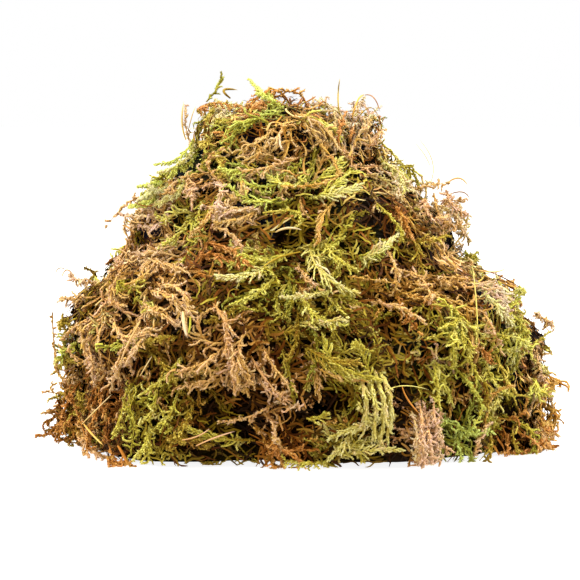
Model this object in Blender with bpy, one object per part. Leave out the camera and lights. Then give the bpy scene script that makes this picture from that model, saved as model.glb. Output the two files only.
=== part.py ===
"""A clump of dried feather moss: torn tufts heaped into a mound that rests flat.

The mound is made of five tiers of tufts. Each tuft is a wedge that runs from the middle of the
heap out to a lumpy, combed skin, and the fingers along its lower edge hang over the tier below.
Sprays of fronds that stand out of the heap are fused to the tufts that they grow from.
Metres, +Z up, the origin in the middle of the base. The broad side with the best view faces -Y.
"""

import math

import bpy
import numpy as np
from mathutils import Vector, noise

# The mound
PILE_WIDTH = 0.139
PILE_DEPTH = 0.121
PILE_HEIGHT = 0.1020
CROWN_DROP = 0.0060  # from the top of the heap to the rim of the crown
CROWN_LEAN = 0.0075  # how far the crown sits to the left of the middle of the base
MOUND_AXIS = (0.00126, -0.00121, 0.0)  # where its axis stands, with the middle of its box at the origin

# The half width of the mound, as a share of the widest, at shares of its height
PROFILE_HEIGHTS = (0.0, 0.06, 0.20, 0.40, 0.47, 0.52, 0.58, 0.68, 0.76, 0.84, 0.92, 1.0)
PROFILE_WIDTHS = (0.985, 1.01, 1.0, 0.98, 0.93, 0.84, 0.75, 0.68, 0.60, 0.50, 0.405, 0.33)
# Wide swells of the footprint: (how many round the mound, share of the radius, start angle)
SWELLS = ((2, 0.015, 0.4), (3, 0.025, 2.2), (5, 0.020, 0.9))

# The tiers, from the floor up: name, tufts round the tier, the height of its lower edge at the skin
# and at the middle of the heap, how far its first seam is turned from the front, in degrees, and
# how far the lower lip of its tufts hangs over the tier below
TIERS = (
    ("base", 12, 0.0, 0.0, 9.0, 0.0020),
    ("lower", 11, 0.027, 0.026, 24.0, 0.0024),
    ("middle", 9, 0.050, 0.047, 3.0, 0.0020),
    ("upper", 6, 0.070, 0.064, 31.0, 0.0016),
    ("crown", 3, 0.083, 0.078, 52.0, 0.0020),
)
SEAM_JITTER = 0.20  # of a tuft's own width
SEAM_WAVES = ((1, 0.0030, 1.9), (2, 0.0036, 1.3), (3, 0.0040, 0.2), (5, 0.0028, 2.6))  # in metres
WAVE_FADE = 0.17  # how much calmer each tier's seam is than the one below

# A tuft's skin
SEAM_DEPTH = 0.0042  # how far the skin dips at the seam between two neighbours
UPPER_EDGE_DEPTH = 0.0028  # how far a tuft's upper edge tucks in under the tier above
LARGE_LUMPS = (0.0170, 0.0076)  # their size and height
SMALL_LUMPS = (0.0078, 0.0040)
COMB_PITCH = 0.0092  # between two combed ridges
COMB_HEIGHT = 0.0012
FINGER_WIDTH = 0.0095
FINGER_REACH = 0.0022  # how far the fingers of the lower edge stand out
FINGER_DROOP = 0.0020  # and how far they hang below their seam
FINGER_BACK = 0.0014  # how far behind the skin's edge they start to droop
ACROSS, UPWARDS = 8, 6  # faces of the skin across a tuft and up it
CROWN_SIDE_ROWS = 2  # rows of a crown tuft's skin before it turns over the top
GAP = 0.0003  # between neighbours in a tier
TIER_GAP = 0.0006

# Sprays
SPRAY_ROOT = 0.0050  # how deep a spray is rooted in its tuft
SPRAY_RINGS = 4
SPRAY_SIDES = 5
SPRAY_FLATNESS = 0.6

LEFT, RIGHT, BACK = Vector((-1, 0, 0)), Vector((1, 0, 0)), Vector((0, 1, 0))
UP, DOWN = Vector((0, 0, 1)), Vector((0, 0, -1))
PLUME_LENGTHS = (0.0115, 0.0150)
PLUME_WIDTHS = (0.0062, 0.0084)
# Sprays that stand out of the heap: the tuft, how far across and up it from 0 to 1, the way that
# the spray points, the way that it curls, its length, and its greatest width
SPRAYS = (
    ("crown_tuft_03", 0.62, 0.75, LEFT * 1.2 + UP, LEFT * 0.3, 0.0105, 0.0045),
    ("crown_tuft_02", 0.80, 0.45, LEFT * 0.6 + UP, RIGHT, 0.015, 0.0060),
    ("crown_tuft_01", 0.25, 0.60, RIGHT * 0.5 + UP, RIGHT + DOWN, 0.016, 0.0055),
    ("crown_tuft_01", 0.75, 0.50, BACK + UP * 0.8, DOWN, 0.016, 0.0060),
    ("crown_tuft_02", 0.84, 0.30, LEFT * 0.12 + UP, RIGHT * 0.1, 0.0145, 0.0034),
    ("upper_tuft_05", 0.40, 0.40, LEFT + UP * 0.2, DOWN * 1.3, 0.019, 0.0060),
    ("upper_tuft_01", 0.85, 0.40, RIGHT + UP * 0.4, DOWN * 1.4, 0.016, 0.0060),
    ("upper_tuft_03", 0.45, 0.40, BACK + UP * 0.2, DOWN * 1.2, 0.018, 0.0060),
    ("middle_tuft_07", 0.55, 0.55, LEFT + UP * 0.1, DOWN, 0.019, 0.0060),
    ("middle_tuft_03", 0.25, 0.45, RIGHT + UP * 0.4, DOWN * 1.3, 0.013, 0.0065),
    ("middle_tuft_05", 0.75, 0.30, BACK + UP * 0.5, LEFT * 0.5, 0.015, 0.0060),
    ("lower_tuft_08", 0.50, 0.60, LEFT + UP * 0.3, UP, 0.011, 0.0065),
    ("lower_tuft_02", 0.65, 0.50, RIGHT + UP * 0.3, DOWN, 0.013, 0.0065),
    ("lower_tuft_03", 0.30, 0.35, RIGHT, DOWN * 0.6, 0.009, 0.0060),
    ("lower_tuft_05", 0.50, 0.60, BACK + UP * 0.2, DOWN, 0.014, 0.0065),
    ("base_tuft_09", 0.60, 0.40, LEFT + DOWN * 0.1, DOWN * 0.5, 0.0135, 0.0130),
    ("base_tuft_03", 0.60, 0.40, RIGHT + DOWN * 0.1, DOWN * 0.3, 0.0105, 0.0150),
    ("base_tuft_06", 0.50, 0.50, BACK, LEFT * 0.4, 0.0125, 0.0120),
)

MOSS_GREEN = (0.30, 0.27, 0.06, 1.0)
MOSS_TAN = (0.50, 0.33, 0.15, 1.0)
MOSS_BROWN = (0.22, 0.12, 0.045, 1.0)
MOSS_ROUGHNESS = 0.9


def clear_scene():
    for thing in list(bpy.data.objects):
        bpy.data.objects.remove(thing, do_unlink=True)


def waves(angle, table):
    """A closed ripple round the mound: the sum of the table's sines at this angle."""
    return sum(size * np.sin(count * angle + start) for count, size, start in table)


def mound_radius(angle, height):
    """The distance from the mound's axis to its skin: its profile, swollen and pressed into an oval."""
    share = np.interp(height / PILE_HEIGHT, PROFILE_HEIGHTS, PROFILE_WIDTHS)
    oval = 1.0 / np.hypot(np.cos(angle), np.sin(angle) * PILE_WIDTH / PILE_DEPTH)
    return PILE_WIDTH / 2 * share * oval * (1.0 + waves(angle, SWELLS))


def seam_height(tier, angle, radius):
    """The height of the seam under a tier. Along a ray from the axis it is a straight line, from the
    tier's middle height to its height at the skin, which rises and falls a little round the mound."""
    if tier == 0:
        return np.zeros_like(angle)
    _, _, at_skin, at_middle, _, _ = TIERS[tier]
    edge = at_skin + waves(angle + 0.8 * tier, SEAM_WAVES) * (1 - WAVE_FADE * tier)
    return at_middle + (edge - at_middle) * radius / mound_radius(angle, at_skin)


def crown_height(angle, radius):
    """The height of the heap's top: a low dome over the crown tufts."""
    rim = mound_radius(angle, TIERS[-1][2])
    return PILE_HEIGHT - CROWN_DROP * np.clip(radius / rim, 0, 1.2) ** 2.4


def lumps(points, size, height):
    """Rounded lumps over the skin: smooth noise of this size."""
    relief = [height * noise.noise(Vector(p) / size) for p in points.reshape(-1, 3)]
    return np.array(relief).reshape(points.shape[:-1])


def combing(around, upwards, turn):
    """Shallow parallel ridges, as on a combed mat of fronds, that run at an angle over the skin."""
    along = around * math.cos(turn) + upwards * math.sin(turn)
    return COMB_HEIGHT * np.sin(along * 2 * math.pi / COMB_PITCH)


def fingers(share_across, breadth):
    """From 0 between two fingers of a tuft's lower edge to 1 at the middle of a finger."""
    count = max(2, round(breadth / FINGER_WIDTH))
    return np.abs(np.sin(share_across * math.pi * count)) ** 0.7


def on_mound(angle, radius, height):
    """Points in space. The mound leans to the left as it rises."""
    lean = -CROWN_LEAN * height / PILE_HEIGHT
    return np.stack((radius * np.cos(angle) + lean, radius * np.sin(angle), height), axis=-1)


def skin_radius(tier, angle, share_across, share_up, height, turn):
    """The distance from the axis to a tuft's skin: the mound's own, out at the tuft's lower lip and in
    at its upper edge, dipping at the seams, with large lumps, and with small lumps and combed ridges
    that fade at its edges."""
    lip = TIERS[tier][5]
    side = np.abs(2 * share_across - 1)
    radius = mound_radius(angle, height)
    turned_in = 0.5 - 0.5 * np.cos(math.pi * share_up)
    radius = radius + lip * (1 - turned_in) - UPPER_EDGE_DEPTH * turned_in - SEAM_DEPTH * side**3
    points = on_mound(angle, radius, height)
    inside = (1 - (2 * share_up - 1) ** 4) * (1 - side**6)
    fine = lumps(points, *SMALL_LUMPS) + combing(angle * radius, height, turn)
    return radius + lumps(points, *LARGE_LUMPS) + inside * fine


def side_skin(tier, first, last, rows, turn):
    """Angle, radius and height over the grid of a tuft's side, bottom row first. Over the floor the
    first row is the tuft's foot. Higher up it is where the fingers leave the seam, and the second row
    is their tips, which stand out and hang."""
    share_up, share_across = np.meshgrid(
        np.linspace(0, 1, rows + 1), np.linspace(0, 1, ACROSS + 1), indexing="ij"
    )
    angle = first + share_across * (last - first)

    def height_at(radius):
        low = seam_height(tier, angle, radius) + (TIER_GAP / 2 if tier else 0)
        if tier + 1 == len(TIERS):
            high = crown_height(angle, radius)
        else:
            high = seam_height(tier + 1, angle, radius) - TIER_GAP / 2
        return low + share_up * (high - low)

    at_skin = mound_radius(angle, TIERS[tier][2])
    radius = skin_radius(tier, angle, share_across, share_up, height_at(at_skin), turn)
    if tier == 0:
        return angle, radius, height_at(radius)
    finger = fingers(share_across[0], (last - first) * at_skin[0].mean())
    under = radius[0] - FINGER_BACK
    radius[0] += FINGER_REACH * finger
    height = height_at(radius)
    height[0] -= FINGER_DROOP * finger
    angle, radius, height = (np.vstack((rows_of[:1], rows_of)) for rows_of in (angle, radius, height))
    radius[0] = under
    height[0] = seam_height(tier, angle[0], under) + TIER_GAP / 2
    return angle, radius, height


def tuft_skin(tier, first, last, turn):
    """Point rows of a tuft's whole skin. A crown tuft's skin turns over its rim and runs in over the
    top of the heap."""
    if tier + 1 < len(TIERS):
        return on_mound(*side_skin(tier, first, last, UPWARDS, turn))
    angle, radius, height = side_skin(tier, first, last, CROWN_SIDE_ROWS, turn)
    rows = [on_mound(angle, radius, height)]
    top_rows = UPWARDS - CROWN_SIDE_ROWS
    for row in range(1, top_rows + 1):
        inwards = radius[-1:] * (1 - row / (top_rows + 1))
        points = on_mound(angle[-1:], inwards, crown_height(angle[-1:], inwards))
        points[..., 2] += lumps(points, *LARGE_LUMPS) + lumps(points, *SMALL_LUMPS)
        rows.append(points)
    return np.concatenate(rows)


def tuft_mesh(name, tier, first, last, turn):
    """A closed wedge: its skin, a lower and an upper face that run in to the axis, and two flat walls."""
    skin = tuft_skin(tier, first, last, turn)
    rows, columns = skin.shape[:2]
    low = TIERS[tier][3] + (TIER_GAP / 2 if tier else 0)
    high = TIERS[tier + 1][3] - TIER_GAP / 2 if tier + 1 < len(TIERS) else PILE_HEIGHT
    ends = on_mound(np.zeros(2), np.zeros(2), np.array((low, high)))
    middle = (first + last) / 2
    apart = GAP / 2 / math.sin((last - first) / 2)
    shift = np.array((math.cos(middle), math.sin(middle), 0.0)) * apart
    points = np.concatenate((skin.reshape(-1, 3), ends)) + shift

    def at(row, column):
        return row * columns + column

    bottom, top = rows * columns, rows * columns + 1
    faces = [
        (at(r, c), at(r, c + 1), at(r + 1, c + 1), at(r + 1, c))
        for r in range(rows - 1)
        for c in range(columns - 1)
    ]
    faces += [(bottom, at(0, c + 1), at(0, c)) for c in range(columns - 1)]
    faces += [(top, at(rows - 1, c), at(rows - 1, c + 1)) for c in range(columns - 1)]
    faces.append((bottom, *(at(r, 0) for r in range(rows)), top))
    faces.append((top, *(at(r, columns - 1) for r in reversed(range(rows))), bottom))
    mesh = bpy.data.meshes.new(name)
    mesh.from_pydata(points.tolist(), [], faces)
    return mesh


def spray_mesh(name, root, way, curl, length, width):
    """A closed, flattened, pointed spray along a curve that starts at its root and bends as it goes.
    Ring t lies at root + way t + curl t squared / 2, and is as wide as a narrow leaf is there."""
    way = way.normalized()
    across = way.cross(curl).normalized()
    shares = np.linspace(0, 1, SPRAY_RINGS + 1)[:-1]
    turns = [2 * math.pi * side / SPRAY_SIDES for side in range(SPRAY_SIDES)]
    points = []
    for t in shares:
        middle = root + (way * t + curl * (0.5 * t * t)) * length
        heading = (way + curl * t).normalized()
        thin = heading.cross(across).normalized() * SPRAY_FLATNESS
        half = width / 2 * (0.75 + 0.9 * t - 1.5 * t * t)
        points += [middle + (across * math.cos(a) + thin * math.sin(a)) * half for a in turns]
    tip = root + (way + curl * 0.5) * length
    points.append(tip)
    faces = [tuple(range(SPRAY_SIDES))]
    for ring in range(SPRAY_RINGS - 1):
        for side in range(SPRAY_SIDES):
            a, b = ring * SPRAY_SIDES + side, ring * SPRAY_SIDES + (side + 1) % SPRAY_SIDES
            faces.append((b, a, a + SPRAY_SIDES, b + SPRAY_SIDES))
    last = (SPRAY_RINGS - 1) * SPRAY_SIDES
    faces += [
        (last + (side + 1) % SPRAY_SIDES, last + side, len(points) - 1) for side in range(SPRAY_SIDES)
    ]
    mesh = bpy.data.meshes.new(name)
    mesh.from_pydata([tuple(p) for p in points], [], faces)
    return mesh


def moss_material(name, colour):
    material = bpy.data.materials.new(name)
    material.use_nodes = True
    surface = material.node_tree.nodes["Principled BSDF"]
    surface.inputs["Base Color"].default_value = colour
    surface.inputs["Roughness"].default_value = MOSS_ROUGHNESS
    surface.inputs["Metallic"].default_value = 0.0
    return material


def add_object(name, mesh, material):
    thing = bpy.data.objects.new(name, mesh)
    thing.location = MOUND_AXIS
    bpy.context.scene.collection.objects.link(thing)
    mesh.materials.append(material)
    return thing


def seams(tier):
    """The angles of a tier's upright seams, from the front round, a little uneven."""
    count, turned = TIERS[tier][1], TIERS[tier][4]
    step = 2 * math.pi / count
    start = math.radians(turned - 90)
    jitter = [SEAM_JITTER * step * math.sin(2.4 * i + 1.7 * tier) for i in range(count)]
    angles = [start + i * step + jitter[i] for i in range(count)]
    return angles + [angles[0] + 2 * math.pi]


def build_tufts(materials):
    """Every tuft, by its name."""
    tufts = {}
    for tier, (tier_name, count, *_) in enumerate(TIERS):
        angles = seams(tier)
        for i in range(count):
            name = f"{tier_name}_tuft_{i + 1:02d}"
            turn = 1.1 * i + 0.7 * tier
            mesh = tuft_mesh(name, tier, angles[i], angles[i + 1], turn)
            tufts[name] = add_object(name, mesh, materials[(i * 2 + tier) % len(materials)])
    return tufts


def spray_root(tuft, share_across, share_up):
    """A point under a tuft's skin, this far across it and up it."""
    columns = ACROSS + 1
    rows = (len(tuft.data.vertices) - 2) // columns
    row, column = round(share_up * (rows - 1)), round(share_across * ACROSS)
    point = tuft.data.vertices[row * columns + column].co
    inwards = Vector((-point.x, -point.y, -0.1 * point.z)).normalized()
    return point + inwards * SPRAY_ROOT


def plumes(tufts):
    """One broad plume for each tuft, as rows like those of SPRAYS. It leaves the middle of the skin
    and hangs over. Over the floor it lifts a little instead."""
    found = []
    for number, (name, tuft) in enumerate(tufts.items()):
        share = (number * 0.618) % 1.0
        middle = sum((v.co for v in tuft.data.vertices), Vector()) / len(tuft.data.vertices)
        out = Vector((middle.x, middle.y, 0)).normalized()
        around = UP.cross(out) * (1.6 * share - 0.8)
        floor = name.startswith("base")
        way = out + around + UP * (0.35 if floor else 0.15)
        curl = (UP * 0.2 if floor else DOWN) + around * 0.5
        length = PLUME_LENGTHS[0] + share * (PLUME_LENGTHS[1] - PLUME_LENGTHS[0])
        width = PLUME_WIDTHS[1] - share * (PLUME_WIDTHS[1] - PLUME_WIDTHS[0])
        found.append((name, 0.35 + 0.3 * share, 0.5, way, curl, length, width))
    return found


def fuse_sprays(tufts):
    rows = list(SPRAYS) + plumes(tufts)
    for number, (name, across, up, way, curl, length, width) in enumerate(rows):
        tuft = tufts[name]
        mesh = spray_mesh(
            f"spray_{number}", spray_root(tuft, across, up), way, curl, length, width
        )
        spray = add_object(f"spray_{number}", mesh, tuft.data.materials[0])
        spray.hide_render = True
        spray.display_type = "WIRE"
        join = tuft.modifiers.new(f"grow_spray_{number}", "BOOLEAN")
        join.operation = "UNION"
        join.object = spray


def main():
    clear_scene()
    materials = [
        moss_material("moss_green", MOSS_GREEN),
        moss_material("moss_tan", MOSS_TAN),
        moss_material("moss_brown", MOSS_BROWN),
    ]
    fuse_sprays(build_tufts(materials))


main()
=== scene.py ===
"""Grows the fronds of a heaped clump of dried feather moss over its packed tufts, and lights them.

Every tuft of the heap gets one mesh of its own: shoots that lie along the skin of the heap, their
side branches, and the small pointed leaves that spiral round each branch. Metres, +Z up. The broad
side with the best view faces -Y.
"""

import functools
import math
from typing import NamedTuple

import bpy
import numpy as np
from mathutils.kdtree import KDTree
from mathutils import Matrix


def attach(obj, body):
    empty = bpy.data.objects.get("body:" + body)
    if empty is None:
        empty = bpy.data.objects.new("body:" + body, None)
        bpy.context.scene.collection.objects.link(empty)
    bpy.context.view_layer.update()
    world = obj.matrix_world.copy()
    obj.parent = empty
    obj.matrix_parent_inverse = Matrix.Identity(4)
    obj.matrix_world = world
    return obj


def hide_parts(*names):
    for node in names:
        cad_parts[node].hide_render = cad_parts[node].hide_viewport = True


bl_info = {
    "name": "Moss Clump",
    "version": (1, 0, 0),
    "blender": (4, 5, 0),
    "location": "3D View > Sidebar > Moss",
    "description": "Grows the fronds of a heaped clump of dried moss over its tufts",
    "category": "Add Mesh",
}

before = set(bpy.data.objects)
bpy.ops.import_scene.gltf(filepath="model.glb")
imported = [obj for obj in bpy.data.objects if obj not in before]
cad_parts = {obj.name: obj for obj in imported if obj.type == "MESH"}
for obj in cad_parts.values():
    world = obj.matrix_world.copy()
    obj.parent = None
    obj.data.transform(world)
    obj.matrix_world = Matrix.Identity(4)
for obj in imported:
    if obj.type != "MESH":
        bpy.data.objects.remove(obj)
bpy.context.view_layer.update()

TUFTS = tuple(sorted(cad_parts))
MM = 0.001

# How the photograph looks at the heap: its side in pixels, the size of a pixel at the middle of the
# heap, the pixel where the middle of the base shows, and how far above level the camera stands
PICTURE = 580
PIXEL = 0.0003
BASE_MIDDLE = (300, 446)
CAMERA_RISE = math.radians(4.0)
CAMERA_DISTANCE = 0.90
# The steps along a line of sight, as shares of the way to the middle of the heap, and how often the
# step that meets the skin is halved
SIGHT_STEPS = np.linspace(0.88, 1.10, 90)
SIGHT_HALVINGS = 10

# The skin of the heap, as seen from a point inside it
HEART = np.array((-0.002, 0.0, 0.034))
SKIN_AROUND, SKIN_UP = 144, 66
SKIN_LOWEST = math.radians(-40)
SPREAD_LOWEST = math.radians(-30)  # the lowest way from the heart in which moss grows
SKIN_BLUR = 420.0  # how sharply the tufts' corners are averaged, in 1 / radians squared
HEAP_AXIS_CLEAR = 0.020  # the tufts' corners nearer the axis than this are inside the heap
HEAP_TOP = 0.090
SPRIG_HEIGHT = 0.106  # sprays whose tips are above this are fresh green
STRAY_HEIGHT = 0.004  # corners further out than this belong to sprays, not to the skin
SLOPE_STEP = 2 * MM  # to each side of a point, to measure the slope of the skin there

# How far above the floor the leaves, the branches, the thatch, the places that the picture's lines of
# sight meet and the stems keep
FLOOR_CLEAR = 0.4 * MM
BRANCH_CLEAR = 0.6 * MM
THATCH_CLEAR = 0.8 * MM
SEEN_CLEAR = 1.0 * MM
STEM_CLEAR = 1.2 * MM

STEM_POINTS = 9
STEM_MIDDLE = STEM_POINTS // 2

# The shades of the moss, and where they stand on one colour ramp
SHADE = {"blue_green": 0.0, "green": 0.15, "yellow_green": 0.25, "pale_yellow": 0.35, "cream": 0.45,
         "pink_tan": 0.54, "tan": 0.62, "gold": 0.71, "rust": 0.81, "brown": 0.91, "olive": 1.0}


class Kind(NamedTuple):
    """How a shoot branches. Lengths are in millimetres and angles in degrees."""

    gap: float  # between two branches
    angle: float  # between the stem and a branch
    rise: float  # how far branches leave the plane of the frond
    length: float  # of its longest branches
    tip: float  # how short the branches at the tip are, from 0 to 1
    curl: float  # how far a branch bends over its length
    wave: float  # how far it snakes from side to side
    core: float  # radius of the bare branch
    leaf_angle: float
    leaf_length: float
    leaf_width: float
    leaves: int  # on one branch
    rings: int
    stray: float  # how far branches bend out of order


KINDS = {
    "plume": Kind(
        gap=0.86, angle=50, rise=22, length=5.4, tip=0.62, curl=90, wave=40, core=0.36,
        leaf_angle=22, leaf_length=0.72, leaf_width=0.50, leaves=15, rings=5, stray=0.45,
    ),
    "fern": Kind(
        gap=0.76, angle=50, rise=12, length=6.4, tip=0.42, curl=46, wave=22, core=0.32,
        leaf_angle=22, leaf_length=0.66, leaf_width=0.46, leaves=16, rings=5, stray=0.20,
    ),
    "ridge": Kind(
        gap=0.90, angle=16, rise=12, length=9.0, tip=0.85, curl=34, wave=20, core=0.50,
        leaf_angle=14, leaf_length=0.70, leaf_width=0.56, leaves=14, rings=6, stray=0.20,
    ),
    "comb": Kind(
        gap=1.12, angle=27, rise=22, length=8.2, tip=0.85, curl=84, wave=50, core=0.42,
        leaf_angle=20, leaf_length=0.70, leaf_width=0.50, leaves=17, rings=6, stray=0.34,
    ),
    "curls": Kind(
        gap=1.08, angle=38, rise=26, length=6.2, tip=0.75, curl=150, wave=58, core=0.40,
        leaf_angle=20, leaf_length=0.68, leaf_width=0.50, leaves=14, rings=6, stray=0.55,
    ),
    "cushion": Kind(
        gap=0.74, angle=46, rise=10, length=4.4, tip=0.80, curl=130, wave=46, core=0.46,
        leaf_angle=18, leaf_length=0.70, leaf_width=0.54, leaves=11, rings=5, stray=0.35,
    ),
}
KIND_NUMBER = {name: number for number, name in enumerate(KINDS)}


class ShownPatch(NamedTuple):
    """A patch of growth that the front of the heap shows. Its middle and reach are in pixels."""

    across: int
    down: int
    reach: int
    shade: str
    kind: str  # empty for a dark gap between tufts
    turn: float  # the way that it grows, in degrees from right to up
    # how light its growth is: partly its own tone, partly painted light and shade, low at a dark gap
    light: float


SHOWN_PATCHES = tuple(ShownPatch(*row) for row in (
    (265, 104, 20, "green", "plume", 150, 1.75),
    (222, 112, 22, "pale_yellow", "curls", 60, 1.70),
    (256, 112, 14, "pale_yellow", "comb", 90, 1.60),
    (256, 136, 27, "gold", "comb", 208, 1.45),
    (315, 130, 22, "gold", "comb", -32, 1.50),
    (345, 130, 15, "cream", "curls", 80, 1.60),
    (356, 104, 15, "cream", "curls", 60, 1.90),
    (372, 126, 14, "cream", "curls", 60, 1.90),
    (385, 170, 24, "cream", "curls", -50, 1.15),
    (215, 148, 21, "green", "plume", -120, 1.25),
    (285, 160, 19, "tan", "comb", 190, 1.05),
    (209, 182, 22, "tan", "curls", -95, 1.12),
    (252, 182, 24, "green", "plume", -165, 1.35),
    (322, 174, 24, "yellow_green", "plume", 38, 1.20),
    (304, 166, 12, "pale_yellow", "plume", 38, 1.55),
    (240, 210, 18, "tan", "curls", 195, 1.55),
    (266, 220, 13, "pale_yellow", "plume", 200, 1.60),
    (166, 172, 22, "pale_yellow", "plume", -130, 1.60),
    (150, 212, 16, "tan", "comb", 185, 1.70),
    (186, 226, 20, "yellow_green", "plume", -110, 1.30),
    (372, 206, 12, "brown", "", 0, 0.35),
    (402, 222, 15, "rust", "comb", -70, 0.75),
    (428, 196, 24, "cream", "curls", 30, 1.05),
    (448, 226, 20, "cream", "curls", 10, 1.40),
    (454, 262, 16, "tan", "curls", -40, 1.60),
    (418, 246, 18, "olive", "plume", -60, 1.00),
    (130, 292, 34, "tan", "comb", -38, 1.02),
    (160, 256, 20, "tan", "comb", -150, 1.45),
    (112, 250, 16, "tan", "curls", 160, 1.50),
    (74, 288, 18, "cream", "curls", 160, 1.40),
    (84, 312, 16, "olive", "curls", 200, 1.00),
    (222, 248, 20, "rust", "comb", 20, 1.00),
    (258, 268, 27, "yellow_green", "plume", 200, 1.15),
    (240, 300, 18, "olive", "plume", 240, 1.00),
    (322, 272, 32, "yellow_green", "plume", -65, 1.00),
    (281, 241, 7, "brown", "", 0, 0.30),
    (376, 246, 18, "yellow_green", "plume", 30, 1.30),
    (346, 206, 11, "pale_yellow", "plume", 30, 1.30),
    (405, 286, 26, "gold", "curls", -60, 0.85),
    (454, 318, 26, "yellow_green", "comb", -84, 1.05),
    (486, 262, 18, "pale_yellow", "curls", -40, 1.70),
    (512, 338, 30, "yellow_green", "curls", -84, 1.70),
    (548, 340, 14, "tan", "curls", -80, 1.45),
    (502, 294, 18, "cream", "curls", -40, 1.90),
    (526, 304, 12, "yellow_green", "plume", -40, 1.70),
    (476, 352, 19, "gold", "curls", -60, 1.05),
    (134, 342, 20, "tan", "curls", -115, 1.10),
    (62, 346, 13, "green", "curls", -120, 1.60),
    (92, 344, 16, "tan", "curls", -100, 1.20),
    (70, 378, 16, "tan", "curls", -100, 1.00),
    (112, 372, 18, "tan", "curls", -80, 1.10),
    (160, 366, 20, "olive", "plume", -60, 1.00),
    (193, 330, 10, "brown", "", 0, 0.25),
    (224, 356, 25, "pink_tan", "comb", -125, 0.80),
    (274, 382, 25, "pink_tan", "curls", -48, 1.00),
    (300, 336, 16, "olive", "plume", -40, 1.00),
    (334, 326, 14, "green", "plume", -40, 0.85),
    (338, 362, 24, "yellow_green", "fern", -14, 0.90),
    (376, 402, 18, "pale_yellow", "ridge", -90, 1.00),
    (362, 432, 18, "yellow_green", "plume", 200, 1.00),
    (350, 456, 18, "yellow_green", "fern", 4, 1.00),
    (218, 437, 17, "yellow_green", "fern", 165, 1.00),
    (286, 448, 15, "rust", "curls", -30, 1.00),
    (152, 414, 28, "yellow_green", "curls", -84, 1.05),
    (188, 436, 16, "olive", "curls", -60, 1.00),
    (96, 398, 24, "rust", "curls", -60, 0.90),
    (58, 420, 20, "rust", "cushion", -70, 0.85),
    (104, 446, 20, "brown", "curls", -60, 0.80),
    (426, 432, 23, "pink_tan", "cushion", -90, 1.30),
    (464, 430, 18, "blue_green", "plume", 30, 1.45),
    (522, 440, 30, "rust", "curls", -20, 1.15),
    (430, 374, 21, "yellow_green", "plume", -80, 1.25),
    (424, 352, 14, "pale_yellow", "curls", -60, 1.45),
    (484, 384, 22, "gold", "plume", -70, 1.15),
    (532, 388, 20, "gold", "curls", -84, 1.55),
    (552, 372, 12, "tan", "cushion", -80, 1.45),
    (206, 400, 10, "brown", "", 0, 0.25),
    (246, 424, 12, "brown", "", 0, 0.25),
    (326, 406, 12, "brown", "", 0, 0.25),
    (402, 394, 13, "brown", "", 0, 0.22),
    (355, 342, 12, "brown", "", 0, 0.25),
    (167, 312, 8, "brown", "", 0, 0.30),
    (384, 446, 9, "brown", "", 0, 0.25),
    (400, 440, 12, "brown", "", 0, 0.20),
    (142, 356, 7, "brown", "", 0, 0.35),
    (262, 375, 9, "brown", "", 0, 0.30),
    (292, 340, 7, "brown", "", 0, 0.35),
    (216, 448, 8, "brown", "", 0, 0.30),
    (342, 448, 7, "brown", "", 0, 0.30),
    (156, 408, 6, "brown", "", 0, 0.35),
))


class ShownShoot(NamedTuple):
    """A shoot that stands out on the front. Its root and tip are pixels, across and down."""

    kind: str
    shade: str
    root_across: int
    root_down: int
    tip_across: int
    tip_down: int
    bow: float  # how far its middle bows to the left of the way to the tip, in pixels
    size: float  # of its branches
    lift: float  # how far it stands off the skin, in millimetres


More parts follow.
